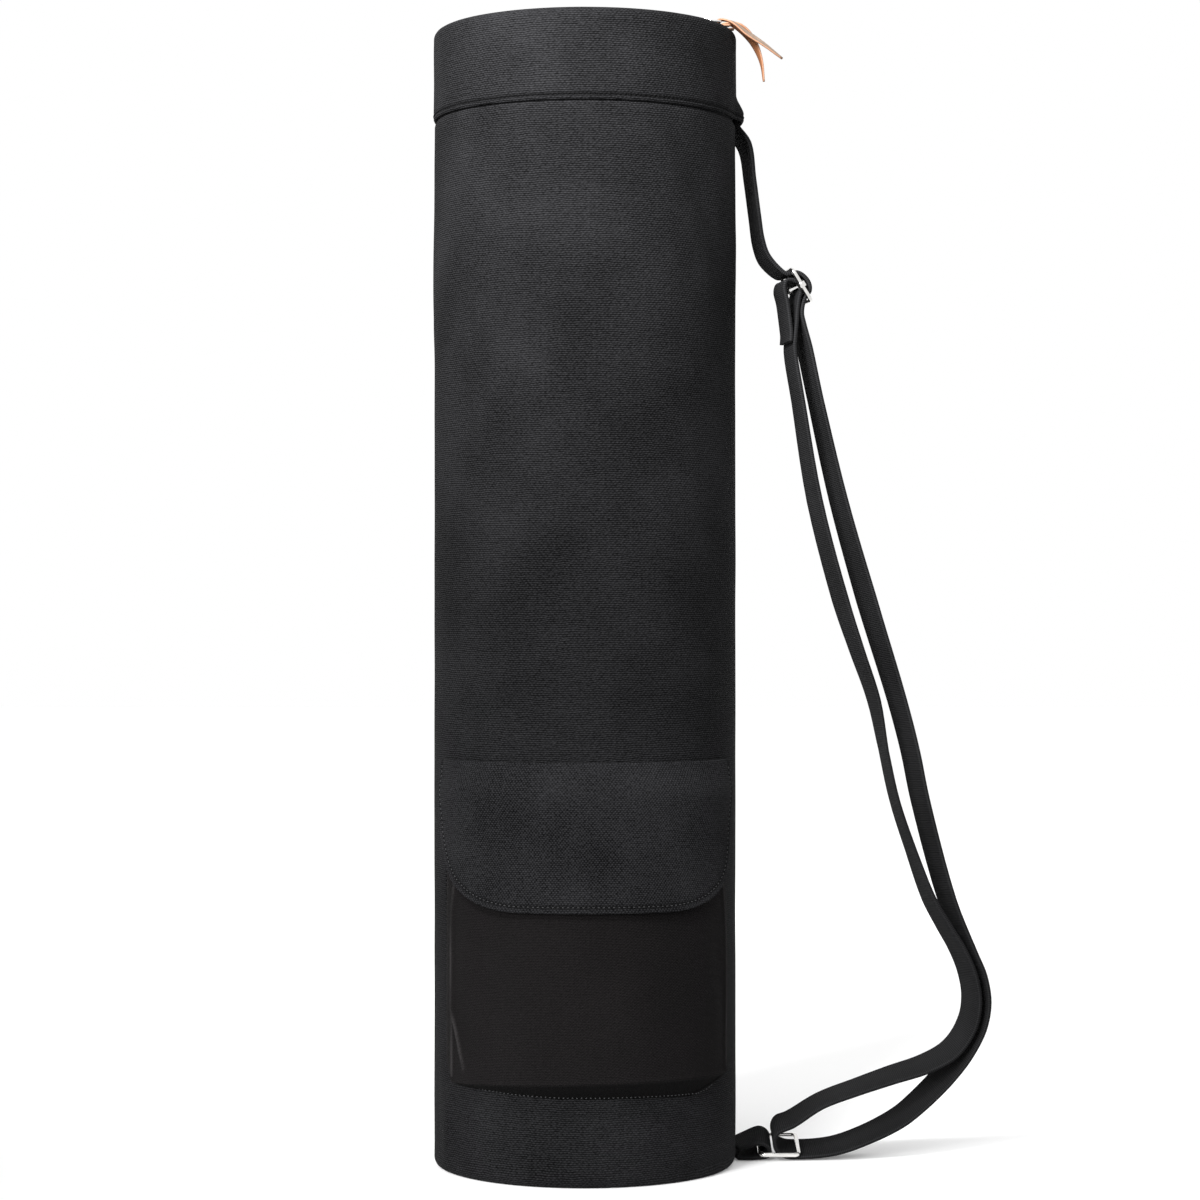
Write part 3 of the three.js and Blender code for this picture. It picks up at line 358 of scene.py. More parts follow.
def cloth_mesh(outer, outer_uv, inner, inner_uv, wraps):
    """Points, faces and flat places of a body of cloth between an outer and an inner grid. Rows run from
    low to high, and each row goes round to the right."""
    columns = outer.shape[1]
    out_index = np.arange(outer.shape[0] * columns).reshape(-1, columns)
    in_index = out_index.size + np.arange(inner.shape[0] * columns).reshape(-1, columns)
    if wraps:
        out_index, in_index = (np.concatenate([i, i[:, :1]], axis=1) for i in (out_index, in_index))
    low, high = outer_uv[0], outer_uv[-1]
    parts = [quads(out_index, outer_uv), quads(in_index, inner_uv, flip=True),
             quads(np.stack([in_index[0], out_index[0]]), np.stack([low - [0, CLOTH], low])),
             quads(np.stack([out_index[-1], in_index[-1]]), np.stack([high, high + [0, CLOTH]]))]
    points = np.concatenate([outer.reshape(-1, 3), inner.reshape(-1, 3)])
    faces = [list(f) for f in np.concatenate([p[0] for p in parts])]
    places = np.concatenate([p[1] for p in parts]).reshape(-1, 2)
    if wraps:
        return points, faces, places
    # the sides join the outer rows to the inner rows at the same shares of the height
    take = np.round(np.linspace(0, outer.shape[0] - 1, inner.shape[0])).astype(int)
    sides = []
    for column, step in ((0, -1), (-1, 1)):
        for k in range(inner.shape[0] - 1):
            run = list(out_index[take[k]:take[k + 1] + 1, column])
            sides.append((run + [in_index[k + 1, column], in_index[k, column]])[::step])
    flat = np.concatenate([outer_uv.reshape(-1, 2), inner_uv.reshape(-1, 2)])
    return points, faces + sides, np.concatenate([places, [flat[i] for ring in sides for i in ring]])


def tube_mesh(centres, frames, shape, closed=False):
    """A loft of one closed section along centres. frames holds two directions for each centre, and shape
    holds the section's points along them, either one list or one for each centre."""
    shape = np.asarray(shape, dtype=float)
    shape = np.broadcast_to(shape, (len(centres),) + shape.shape[-2:])
    count, size = shape.shape[:2]
    points = (np.asarray(centres)[:, None, :] + shape[..., :1] * np.asarray(frames)[:, None, 0, :]
              + shape[..., 1:] * np.asarray(frames)[:, None, 1, :])
    index = np.arange(count * size).reshape(count, size)
    run = run_along(centres)
    if closed:
        index = np.concatenate([index, index[:1]])
        run = np.append(run, run[-1] + np.linalg.norm(centres[0] - centres[-1]))
    index = np.concatenate([index, index[:, :1]], axis=1)
    girth = run_along(np.vstack([shape[0], shape[0][:1]]))
    faces, places = quads(index, np.stack(np.meshgrid(girth, run), axis=-1))
    faces, places = [list(f) for f in faces], places.reshape(-1, 2)
    if not closed:
        faces += [list(index[0, :-1])[::-1], list(index[-1, :-1])]
        places = np.concatenate([places, shape[0][::-1], shape[-1]])
    return points.reshape(-1, 3), faces, places


def ribbon(centres, across, section):
    """A loft whose section lies across its way and out of its face."""
    across = np.broadcast_to(across, centres.shape)
    out = unit(np.cross(unit(np.gradient(centres, axis=0)), across))
    return tube_mesh(centres, np.stack([across, out], axis=1), section)


def merged(meshes):
    """One list of points, faces and flat places from several."""
    points, faces, places, start = [], [], [], 0
    for some_points, some_faces, some_places in meshes:
        points.append(some_points)
        faces += [[start + int(i) for i in face] for face in some_faces]
        places.append(some_places)
        start += len(some_points)
    return np.concatenate(points), faces, np.concatenate(places)


def circle(radius, sides):
    turn = np.linspace(0, 2 * math.pi, sides, endpoint=False)
    return np.stack([radius * np.cos(turn), radius * np.sin(turn)], axis=-1)


def unit(v):
    v = np.asarray(v, dtype=float)
    return v / np.maximum(np.linalg.norm(v, axis=-1, keepdims=True), 1e-9)


# Sewing: the thread's half width, and how one stitch rises and thickens from end to end
STITCH_THREAD = 0.38
STITCH_RISE = np.array([-1.1, 0.55, 1, 0.55, -1.1])[:, None] * STITCH_THREAD * 0.8
STITCH_WIDTHS = np.array([0.55, 0.95, 1.05, 0.95, 0.55])[:, None, None]
ROUND_PITCH = 3.0
ROUND_STEPS = 720


def sewn(name, path, surface, pitch, material, slot_name="canvas", lift=0.1, step=0.2, dash=0.72):
    """A row of stitches along a path of flat places on a surface. dash is a stitch's share of the pitch,
    and step is how far off the surface's slope is taken."""
    path = np.asarray(path, dtype=float)
    run = run_along(surface(path[:, 0], path[:, 1]))
    meshes = []
    for k in range(max(1, int(run[-1] / pitch))):
        start = (k + (1 - dash) / 2) * pitch
        at = np.linspace(start, start + dash * pitch, len(STITCH_RISE))
        u, v = (np.interp(at, run, path[:, axis]) for axis in (0, 1))
        here = surface(u, v)
        out = unit(np.cross(surface(u + step, v) - here, surface(u, v + step) - here))
        centres = here + out * (lift + STITCH_RISE)
        side = unit(np.cross(out, unit(np.gradient(centres, axis=0))))
        meshes.append(ribbon(centres, side, circle(STITCH_THREAD, 6)[None] * STITCH_WIDTHS))
    return add(name, merged(meshes), material, slot_name)


def sewn_round(name, v, surface, way=1):
    """A row of stitches right round the bag. way is -1 where the surface's v is a distance from the axis."""
    u = np.linspace(-way * math.pi, way * math.pi, ROUND_STEPS) * BAG_RADIUS
    sewn(name, np.stack([u, np.full(u.shape, v)], axis=-1), surface, ROUND_PITCH, SHADED_THREAD)


# Materials
class Graph:
    """A material's nodes, built by small calls."""

    def __init__(self, name):
        self.material = bpy.data.materials.new(name)
        self.material.use_nodes = True
        self.tree = self.material.node_tree
        self.shader = self.tree.nodes["Principled BSDF"]

    def node(self, kind, inputs=(), **settings):
        node = self.tree.nodes.new(kind)
        for key, value in settings.items():
            setattr(node, key, value)
        for key, value in dict(inputs).items():
            self.put(node.inputs[key], value)
        return node

    def put(self, socket, value):
        if isinstance(value, bpy.types.NodeSocket):
            self.tree.links.new(value, socket)
        else:
            socket.default_value = value

    def math(self, operation, a, b=0.0, c=0.0):
        return self.node("ShaderNodeMath", {0: a, 1: b, 2: c}, operation=operation).outputs[0]

    def flat(self):
        return self.node("ShaderNodeUVMap", uv_map="cloth").outputs[0]

    def place(self):
        return self.node("ShaderNodeTexCoord").outputs["Object"]

    def scaled(self, vector, scale):
        return self.node("ShaderNodeMapping", {"Vector": vector, "Scale": scale}).outputs[0]

    def noise(self, vector, scale, detail=2.0, roughness=0.5):
        inputs = {"Vector": vector, "Scale": scale, "Detail": detail, "Roughness": roughness}
        return self.node("ShaderNodeTexNoise", inputs).outputs[0]

    def ramp(self, value, stops):
        ramp = self.node("ShaderNodeValToRGB", {0: value})
        elements = ramp.color_ramp.elements
        while len(elements) < len(stops):
            elements.new(0.5)
        for element, (place, colour) in zip(elements, stops):
            element.position = place
            element.color = (colour if isinstance(colour, tuple) else (colour,) * 3) + (1,)
        return ramp.outputs[0]

    def blend(self, share, a, b, how="MIX"):
        node = self.node("ShaderNodeMix", data_type="RGBA", blend_type=how)
        self.put(node.inputs[0], share)
        self.put(node.inputs[6], a)
        self.put(node.inputs[7], b)
        return node.outputs[2]

    def bump(self, height, strength, distance, after=None):
        inputs = {"Height": height, "Strength": strength, "Distance": distance}
        if after is not None:
            inputs["Normal"] = after
        return self.node("ShaderNodeBump", inputs).outputs[0]

    def split(self, vector):
        return self.node("ShaderNodeSeparateXYZ", {0: vector}).outputs

    def finish(self, colour, roughness, normal, **fixed):
        self.put(self.shader.inputs["Base Color"], colour)
        self.put(self.shader.inputs["Roughness"], roughness)
        if normal is not None:
            self.put(self.shader.inputs["Normal"], normal)
        for key, value in fixed.items():
            self.put(self.shader.inputs[key.replace("_", " ").title().replace("Ior", "IOR")], value)
        return self.material


# The pale tone of a painted highlight on an edge or a crease, and the dark of painted shade in a sewn line's
# groove and on the pocket's lower gusset
HIGHLIGHT_TONE = (0.07, 0.066, 0.067, 1)
SHADE_TONE = (0.001, 0.001, 0.001, 1)


def woven(name, dark, light, across, down, rib):
    """Plain-woven cloth. across and down are the pitches of its threads in metres, and rib is how far the
    crossways threads stand out."""
    g = Graph(name)
    flat = g.flat()
    drift = g.noise(g.scaled(flat, (110, 60, 1)), 1.0, 3.0)
    u, v, _ = g.split(flat)
    wander = g.math("MULTIPLY", g.math("SUBTRACT", drift, 0.5), 1.6)
    row = g.math("ADD", g.math("DIVIDE", v, down), wander)
    column = g.math("ADD", g.math("DIVIDE", u, across), wander)
    row_wave = g.math("SINE", g.math("MULTIPLY", row, math.pi))
    column_wave = g.math("SINE", g.math("MULTIPLY", column, math.pi))
    ribs = g.math("POWER", g.math("ABSOLUTE", row_wave), 0.8)
    checks = g.math("MULTIPLY_ADD", g.math("MULTIPLY", row_wave, column_wave), 0.5, 0.5)
    slub = g.noise(g.scaled(flat, (240, 0.9 / down, 1)), 1.0, 2.0, 0.6)
    beads = g.noise(g.scaled(flat, (0.7 / across, 0.7 / down, 1)), 1.0, 1.0)
    fuzz = g.noise(g.scaled(flat, (2600, 2600, 1)), 1.0, 3.0, 0.7)
    height = g.math("MULTIPLY_ADD", ribs, rib, g.math("MULTIPLY", checks, 1 - rib))
    height = g.math("MULTIPLY_ADD", slub, 0.45, height)
    height = g.math("MULTIPLY_ADD", beads, 0.8, height)
    height = g.math("MULTIPLY_ADD", fuzz, 0.3, height)
    patches = g.noise(g.place(), 14.0, 4.0, 0.6)
    mottle = g.math("MULTIPLY", g.math("SUBTRACT", patches, 0.5), 0.5)
    colour = g.ramp(g.math("MULTIPLY_ADD", height, 0.5, mottle), [(0.5, dark), (1.0, light)])
    # a positive value of the attribute paints shade along a sewn line and on the pocket's lower gusset, and
    # a negative one paints a highlight on an edge or a crease
    seam = g.node("ShaderNodeAttribute", attribute_name="seam").outputs["Fac"]
    colour = g.blend(g.math("MULTIPLY", seam, 0.8), colour, SHADE_TONE)
    colour = g.blend(g.math("MULTIPLY", seam, -0.28), colour, HIGHLIGHT_TONE)
    rough = g.ramp(patches, [(0.3, 0.86), (0.7, 0.97)])
    soft = g.bump(g.noise(g.place(), 60.0, 3.0, 0.55), 0.25, 0.0012)
    normal = g.bump(height, 1.0, 0.0007, soft)
    return g.finish(colour, rough, normal, specular_ior_level=0.05)


def webbing_material(name, dark, light):
    """Cotton webbing: close ribs across its width and fainter cords along it."""
    g = Graph(name)
    flat = g.flat()
    u, v, _ = g.split(flat)
    ribs = g.math("ABSOLUTE", g.math("SINE", g.math("MULTIPLY", v, math.pi / 0.0011)))
    cords = g.math("SINE", g.math("MULTIPLY", u, math.pi / 0.0009))
    weave = g.math("MULTIPLY_ADD", cords, 0.3, ribs)
    fuzz = g.noise(g.scaled(flat, (2400, 1500, 1)), 1.0, 3.0, 0.7)
    height = g.math("MULTIPLY_ADD", fuzz, 0.4, weave)
    patches = g.noise(g.place(), 22.0, 3.0)
    mottle = g.math("MULTIPLY", g.math("SUBTRACT", patches, 0.5), 0.5)
    colour = g.ramp(g.math("MULTIPLY_ADD", height, 0.5, mottle), [(0.1, dark), (0.8, light)])
    return g.finish(colour, 0.9, g.bump(height, 0.8, 0.00035), specular_ior_level=0.03)


def thread_material(name, dark, light, shine=0.4):
    g = Graph(name)
    flat = g.flat()
    u, v, _ = g.split(flat)
    twist = g.math("SINE", g.math("MULTIPLY", g.math("ADD", u, v), math.pi / 0.0003))
    colour = g.ramp(g.math("MULTIPLY_ADD", twist, 0.3, 0.5), [(0.2, dark), (0.9, light)])
    return g.finish(colour, 0.6, g.bump(twist, 0.5, 0.0001), specular_ior_level=shine)


def metal_material(name, colour, roughness):
    g = Graph(name)
    place = g.place()
    haze = g.noise(place, 160.0, 3.0, 0.6)
    scuffs = g.noise(g.scaled(place, (900, 240, 240)), 1.0, 2.0)
    tint = g.ramp(haze, [(0.3, colour), (0.75, tuple(0.86 * c for c in colour))])
    rough = g.ramp(scuffs, [(0.35, roughness), (0.8, roughness + 0.16)])
    return g.finish(tint, rough, g.bump(scuffs, 0.08, 0.0002), metallic=1.0)


def leather_material(name, dark, light, grain, roughness):
    g = Graph(name)
    place = g.place()
    cells = g.node("ShaderNodeTexVoronoi", {"Vector": place, "Scale": 1400.0}).outputs[0]
    broad = g.noise(place, 120.0, 4.0, 0.6)
    fibres = g.noise(place, 900.0, 4.0, 0.65)
    tone = g.math("MULTIPLY_ADD", fibres, 0.45, g.math("MULTIPLY", broad, 0.6))
    colour = g.ramp(tone, [(0.3, dark), (0.72, light)])
    height = g.math("MULTIPLY_ADD", fibres, 0.6, g.math("MULTIPLY", cells, grain))
    return g.finish(colour, roughness, g.bump(height, 0.5, 0.00015), specular_ior_level=0.4)


CANVAS = woven("black_canvas", (0.0008, 0.0008, 0.0009), (0.0198, 0.0198, 0.0212),
               across=0.00115, down=0.00125, rib=0.62)
POCKET = woven("black_pocket_canvas", (0.0035, 0.0031, 0.0032), (0.0095, 0.0085, 0.0088),
               across=0.0009, down=0.0009, rib=0.5)
WEBBING = webbing_material("black_webbing", (0.0042, 0.0042, 0.0044), (0.022, 0.022, 0.023))
TAPE = webbing_material("black_zip_tape", (0.003, 0.003, 0.0033), (0.012, 0.012, 0.013))
COIL = thread_material("black_zip_coil", (0.012, 0.012, 0.013), (0.04, 0.04, 0.042))
# The flap's canvas is lighter than the body's: painted light, for the light the flap catches from above.
LIGHTENED_FLAP_CANVAS = woven("black_flap_canvas_painted_light", (0.0014, 0.0014, 0.0016), (0.027, 0.027, 0.029),
                    across=0.0009, down=0.0011, rib=0.4)
# The thread of the collar, rim, lid and pocket sides is darkened to paint the shade of its stitch holes, and
# the flap's and pocket floor's thread is made lighter to paint highlights on its stitches.
SHADED_THREAD = thread_material("black_stitch_painted_shade", (0.0005, 0.0005, 0.0006), (0.0025, 0.0025, 0.0028), shine=0.05)
LIT_THREAD = thread_material("black_stitch_painted_highlight", (0.012, 0.012, 0.0125), (0.055, 0.055, 0.058),
                             shine=0.3)
NICKEL = metal_material("polished_nickel", (0.82, 0.81, 0.79), roughness=0.12)
GRAIN = leather_material("tan_leather_face", (0.1, 0.035, 0.013), (0.2, 0.08, 0.032),
                         grain=0.7, roughness=0.6)
FLESH = leather_material("tan_leather_back", (0.09, 0.06, 0.042), (0.2, 0.14, 0.1),
                         grain=0.2, roughness=0.9)
EDGE = leather_material("tan_leather_edge", (0.15, 0.07, 0.035), (0.28, 0.15, 0.09),
                        grain=0.2, roughness=0.8)


# The bag's body
COLUMNS = 264
HEM_ROWS = np.array([0, 0.03, 0.08, 0.16, 0.3, 0.5, 0.75, 1])
HEM_INNER_ROWS = np.array([0, 0.15, 0.4, 1])


def round_angles(count=COLUMNS):
    return np.arange(count) * 360 / count - 180


def turn_uv(rows):
    """Flat places for rows of heights that go right round."""
    u = np.radians(np.arange(COLUMNS + 1) * 360 / COLUMNS - 180) * BAG_RADIUS
    return np.stack(np.meshgrid(u, np.asarray(rows, dtype=float)), axis=-1)


def level(heights):
    """Rows that go right round, each at one height."""
    return np.broadcast_to(np.asarray(heights)[:, None], (len(heights), COLUMNS))


def make_body():
    top = BAG_HEIGHT - RIM_ROUND - SEAM_GAP
    under_neck = COLLAR_EDGE - NECK_RUN
    across = round_angles()[None]
    hem = hem_rise(across)
    rows = np.concatenate([np.linspace(FOOT_CALM, under_neck, 172),
                           np.linspace(under_neck + 1, COLLAR_EDGE, 9), [top]])
    heights = np.concatenate([HEM_ROWS[:, None] * hem, level(rows)])
    outer = around(across, body_radius(across, heights), heights)
    inner_hem = mix(CLOTH, hem, HEM_INNER_ROWS[:, None])
    inner_heights = np.concatenate([level([0]), inner_hem, level(rows[::8]), level([top])])
    radii = body_inner(across, inner_heights)
    radii[0] = BASE_RADIUS + SEAM_GAP
    inner = around(across, radii, inner_heights)
    uv, inner_uv = (turn_uv(rows.mean(axis=1)) for rows in (heights, inner_heights))
    add("canvas_tube", cloth_mesh(outer, uv, inner, inner_uv, True), CANVAS, "canvas", "tube_body")


def disc_mesh(rings, columns=96):
    """A closed turned form: rings of distance from the axis and height from the lowest centre, out and
    round to the highest centre."""
    across = round_angles(columns)
    middle = rings[1:-1]
    grid = np.stack([around(across, r, z) for r, z in middle])
    points = np.concatenate([grid.reshape(-1, 3), [[0, 0, rings[0][1]], [0, 0, rings[-1][1]]]])
    index = np.arange(len(middle) * columns).reshape(len(middle), columns)
    index = np.concatenate([index, index[:, :1]], axis=1)
    faces = [list(f) for f in quads(index, np.zeros(index.shape + (2,)))[0]]
    low, high = len(points) - 2, len(points) - 1
    for k in range(columns):
        faces.append([low, index[0, k + 1], index[0, k]])
        faces.append([high, index[-1, k], index[-1, k + 1]])
    places = np.array([points[i][:2] for face in faces for i in face])
    return points, faces, places


def make_base():
    edge, top = BASE_RADIUS, BASE_THICKNESS
    rings = [(edge * s, 0.0) for s in (0, 0.3, 0.6, 0.85, 0.97)]
    rings += [(edge, 0.5), (edge, top - 0.5), (edge * 0.99, top)]
    rings += [(edge * s, top) for s in (0.9, 0.6, 0.3, 0)]
    add("canvas_base", disc_mesh(rings), CANVAS, "canvas", "base_panel")


def flare(angle, height):
    """How far the collar stands out over the strap's sewn end."""
    room = (WEBBING_THICKNESS + 3 * SEAM_GAP + NECK_RADIUS
            - math.sqrt(NECK_RADIUS**2 - (WEBBING_WIDTH / 2) ** 2))
    aside = np.radians(apart(angle, STRAP_ANGLE)) * BAG_RADIUS
    sideways = 1 - smooth((aside - WEBBING_WIDTH * 0.7) / (WEBBING_WIDTH / 2))
    upwards = 1 - smooth((height - COLLAR_EDGE - STRAP_TUCK) / (3 * STRAP_TUCK))
    return room * sideways * upwards


# How far the collar's seam and the rim's and lid's stitches lie from their edges
COLLAR_STITCH = 2.8
RIM_STITCH = 2.2
LID_STITCH = 2.6
COLLAR_SEAM_ROWS = np.array([0, 0.25, 0.6, 1.0, 1.5, 2.1, 2.6, 3.0, 3.4, 3.9, 4.6, 5.4, 6.4])
LID_ROWS = (0.985, 0.975, 0.965, 0.955, 0.945, 0.93, 0.9, 0.8, 0.65, 0.5, 0.35, 0.2, 0.08, 0)


def collar_radius(angle, height):
    """The collar's outer radius up to where its rim turns in."""
    u = np.radians(angle) * BAG_RADIUS
    calm = smooth((height - COLLAR_EDGE) / 8) * smooth((BAG_HEIGHT - RIM_ROUND - height) / 8)
    above = height - COLLAR_EDGE
    soft = folds(COLLAR_FOLDS, angle, height) + 0.25 * waves(u, height, 34, 8)
    groove = (-0.42 * hump(above - COLLAR_STITCH, 0.6) + 0.1 * hump(above - 1.2, 0.9)
              - 0.5 * hump(above, 0.5))
    pucker = 0.12 * np.sin(u * 2 * math.pi / 3.1) * hump(above - COLLAR_STITCH - 2.2, 1.8)
    rim = 0.3 * hump(height - (BAG_HEIGHT - RIM_ROUND - 2), 2.5) * waves(u, height, 18, 5)
    return COLLAR_RADIUS + flare(angle, height) + soft * calm + groove + pucker + rim


def collar_surface(u, v):
    angle = np.degrees(np.asarray(u) / BAG_RADIUS)
    return around(angle, collar_radius(angle, v), v)


def make_collar():
    across = round_angles()[None]
    lip = BAG_RADIUS - RIM_LIP
    round_top = BAG_HEIGHT - RIM_ROUND
    wall = np.linspace(COLLAR_EDGE + 8, round_top, 40)
    heights = level(np.concatenate([COLLAR_EDGE + COLLAR_SEAM_ROWS, wall]))
    outer = [around(across, collar_radius(across, heights), heights)]
    turns = np.radians(np.linspace(9, 90, 10))[:, None]
    centre = collar_radius(across, level([round_top])) - RIM_ROUND
    outer.append(around(across, centre + RIM_ROUND * np.cos(turns), round_top + RIM_ROUND * np.sin(turns)))
    dip = np.linspace(0.25, 1, 5)[:, None]
    outer.append(around(across, mix(centre, lip, dip), BAG_HEIGHT - 0.25 * np.sin(dip * math.pi)))
    inner_heights = level(np.linspace(COLLAR_EDGE, round_top, 8))
    inner = [around(across, COLLAR_RADIUS - CLOTH + flare(across, inner_heights), inner_heights)]
    small, middle = RIM_ROUND - CLOTH, COLLAR_RADIUS - RIM_ROUND
    turns = np.radians([30, 60, 90])[:, None]
    inner.append(around(across, middle + small * np.cos(turns), round_top + small * np.sin(turns)))
    inner.append(around(across, lip, level([BAG_HEIGHT - CLOTH])))
    outer, inner = np.concatenate(outer), np.concatenate(inner)
    uv, inner_uv = (turn_uv(COLLAR_EDGE + run_along(grid[:, COLUMNS // 2])) for grid in (outer, inner))
    # painted shade: the canvas darkens along the groove of its stitch line
    stitch_shade = hump(outer[..., 2] - COLLAR_EDGE - COLLAR_STITCH, 0.6)
    mesh = cloth_mesh(outer, uv, inner, inner_uv, True)
    add("canvas_collar", mesh, CANVAS, "canvas", "top_collar", seam=stitch_shade)
    sewn_round("collar_stitches", COLLAR_EDGE + COLLAR_STITCH, collar_surface)
    sewn_round("rim_stitches", lip + RIM_STITCH, lambda u, v: around_flat(u, v, BAG_HEIGHT - 0.15), -1)


def make_lid():
    edge = BAG_RADIUS - RIM_LIP - ZIP_WIDTH

    def top(r):
        sag = LID_SAG * (1 - (r / edge) ** 1.6)
        return BAG_HEIGHT - sag + 0.35 * hump(r - edge + 1.4, 1.0) - 0.3 * hump(r - edge + 3, 0.8)

    rings = [(edge * s, top(edge * s) - CLOTH) for s in (0, 0.2, 0.5, 0.8, 0.97)]
    rings += [(edge, BAG_HEIGHT - CLOTH * 0.7), (edge, BAG_HEIGHT - CLOTH * 0.3),
              (edge * 0.993, BAG_HEIGHT - 0.05)]
    rings += [(edge * s, top(edge * s)) for s in LID_ROWS]
    points, faces, places = disc_mesh(rings, 144)
    x, y = points[:, 0], points[:, 1]
    points[:, 2] += 0.5 * waves(x, y, 50, 12) * np.clip(1 - np.hypot(x, y) / edge, 0, 1) ** 0.5
    add("canvas_lid", (points, faces, places), CANVAS, "canvas", "top_lid")
    sewn_round("lid_stitches", edge - LID_STITCH, lambda u, v: around_flat(u, v, top(v)), -1)


def arc_strip(section, start, end, steps):
    """A closed section of distances and heights carried round the top from one angle to another."""
    spots = np.linspace(start, end, steps)
    frames = np.stack([around(spots, 1.0, 0.0), np.tile(UP, (steps, 1))], axis=1)
    return tube_mesh(around(spots, 0.0, 0.0), frames, np.asarray(section)[::-1])


# The closed coil's pitch, and one loop's run across the zip and rise
COIL_PITCH = 1.5
COIL_REACH = np.array([-0.35, 0.0, 0.6, 1.0, 1.12])
COIL_RISE = np.array([0.2, 0.42, 0.38, 0.1, -0.35])[:, None]
COIL_WIRE = 0.42


def make_hinge_and_zip():
    lip = BAG_RADIUS - RIM_LIP
    out, into = lip - SEAM_GAP, lip - ZIP_WIDTH + SEAM_GAP
    low = BAG_HEIGHT - CLOTH
    section = [(into, low), (out, low), (out, BAG_HEIGHT - 0.3), (out - 0.8, BAG_HEIGHT),
               (mix(into, out, 0.5), BAG_HEIGHT - 0.25), (into + 0.8, BAG_HEIGHT), (into, BAG_HEIGHT - 0.3)]
    half = HINGE_SPREAD / 2
    strip = arc_strip(section, HINGE_ANGLE - half, HINGE_ANGLE + half, 30)
    add("canvas_hinge", strip, CANVAS, "canvas", "lid_hinge")

    width = ZIP_WIDTH / 2 + ZIP_UNDERLAP
    under = TAPE_TOP - TAPE_THICKNESS
    tape = [(-width, under), (width, under), (width, TAPE_TOP), (2.4, TAPE_TOP), (0, TAPE_TOP + 0.25),
            (-2.4, TAPE_TOP), (-width, TAPE_TOP)]
    tape = [(ZIP_RADIUS + aside, height) for aside, height in tape]
    clear = math.degrees(SEAM_GAP / ZIP_RADIUS)
    start = HINGE_ANGLE + half + clear
    end = start + 360 - HINGE_SPREAD - 2 * clear
    add("zip_tape_cloth", arc_strip(tape, start, end, 200), TAPE, "zip_cloth", "zip_tape")

    # the coil's loops lean one way on one side and the other way across from it
    count = int(math.radians(end - start) * ZIP_RADIUS / COIL_PITCH)
    meshes = []
    for k in range(count):
        angle = start + (end - start) * (k + 0.5) / count
        middle = around(angle, ZIP_RADIUS, TAPE_TOP + 0.55)
        outward, onward = around(angle, 1.0, 0.0), around(angle + 90, 1.0, 0.0)
        reach = COIL_REACH * (1 if k % 2 else -1) * COIL_WIDTH / 2
        centres = middle + reach[:, None] * outward + COIL_RISE * UP
        meshes.append(ribbon(centres, onward, circle(COIL_WIRE, 6)))
    add("zip_coil_loops", merged(meshes), COIL, "zip_cloth", "zip_tape")


# The zip's sliders, rings and pulls
def add_metal(name, mesh, carry, node):
    """A nickel piece whose points are carried to where they belong."""
    points, faces, places = mesh
    return add(name, (carry(points), faces, places), NICKEL, "nickel", node)


def place_on_zip(points, angle, height, heading=None):
    """Carries points made about a slider's centre, X outward and Y along the zip, to the zip."""
    turn = math.radians((heading if heading is not None else angle) - 90)
    spin = np.array([[math.cos(turn), -math.sin(turn), 0], [math.sin(turn), math.cos(turn), 0], [0, 0, 1]])
    return np.asarray(points) @ spin.T + around(angle, ZIP_RADIUS, height)


def bevelled(obj, width):
    bevel = obj.modifiers.new("round", "BEVEL")
    bevel.width = width * MM
    bevel.segments = 3
    bevel.limit_method = "ANGLE"
    bevel.angle_limit = math.radians(35)


def prism(outline, low, high):
    """A closed plate from an outline, counter-clockwise, between two heights."""
    size = len(outline)
    points = [(x, y, low) for x, y in outline] + [(x, y, high) for x, y in outline]
    faces = [list(range(size))[::-1], [size + i for i in range(size)]]
    faces += [[i, (i + 1) % size, size + (i + 1) % size, size + i] for i in range(size)]
    places = np.array([points[i][:2] for face in faces for i in face])
    return np.array(points), faces, places


def both_ways(corners):
    """A closed section from the half of it on one side of its centre."""
    return corners + [(-x, -y) for x, y in corners]


def slider_mesh():
    """The slider's plate, rounded at one end and notched at the other, and its bridge."""
    half_length, half_width = SLIDER_LENGTH / 2, SLIDER_WIDTH / 2
    nose = [(mix(half_width, half_width * 0.4, t**1.4),
             mix(-half_length * 0.6, -half_length, 1 - (1 - t) ** 1.8)) for t in np.linspace(0, 1, 6)]
    tail = [(half_width * x, half_length * y) for x, y in ((0.82, 0.6), (0.7, 1), (0.2, 1))]
    left_nose, left_tail = ([(-x, y) for x, y in side] for side in (nose, tail[::-1]))
    outline = left_nose + nose[::-1] + tail + [(0, half_length * 0.72)] + left_tail
    # the bridge: a flat strap bent over the plate from end to end
    turn = np.linspace(0, math.pi, 15)
    out = -BRIDGE_SPAN / 2 * 0.86 * np.cos(turn) * (1 + 0.16 * np.sin(turn))
    rise = SLIDER_HEIGHT - 0.3 + (BRIDGE_HEIGHT - 0.55) * np.sin(turn) ** 0.7
    centres = np.stack([out, np.zeros(15), rise], axis=1)
    corners = [(-1.1, -0.28), (-0.95, -0.45), (0.95, -0.45), (1.1, -0.28)]
    bridge = ribbon(centres, [0.0, 1.0, 0.0], both_ways(corners))
    return merged([prism(outline, 0, SLIDER_HEIGHT), bridge])


def wire_loop(length, width, wire, bend):
    """A flat loop of round wire about the origin, its corners turned in equal steps."""
    half_length, half_width = (length - wire) / 2, (width - wire) / 2
    spots, outs = [], []
    for side_x, side_y, start in ((1, 1, 0), (-1, 1, 90), (-1, -1, 180), (1, -1, 270)):
        for turn in np.radians(start + 90 * np.arange(9) / 8):
            outs.append((math.cos(turn), math.sin(turn), 0))
            spots.append((side_x * (half_length - bend) + bend * math.cos(turn),
                          side_y * (half_width - bend) + bend * math.sin(turn), 0))
    frames = np.stack([outs, np.tile(UP, (len(outs), 1))], axis=1)
    return tube_mesh(np.array(spots), frames, circle(wire / 2, 16), closed=True)


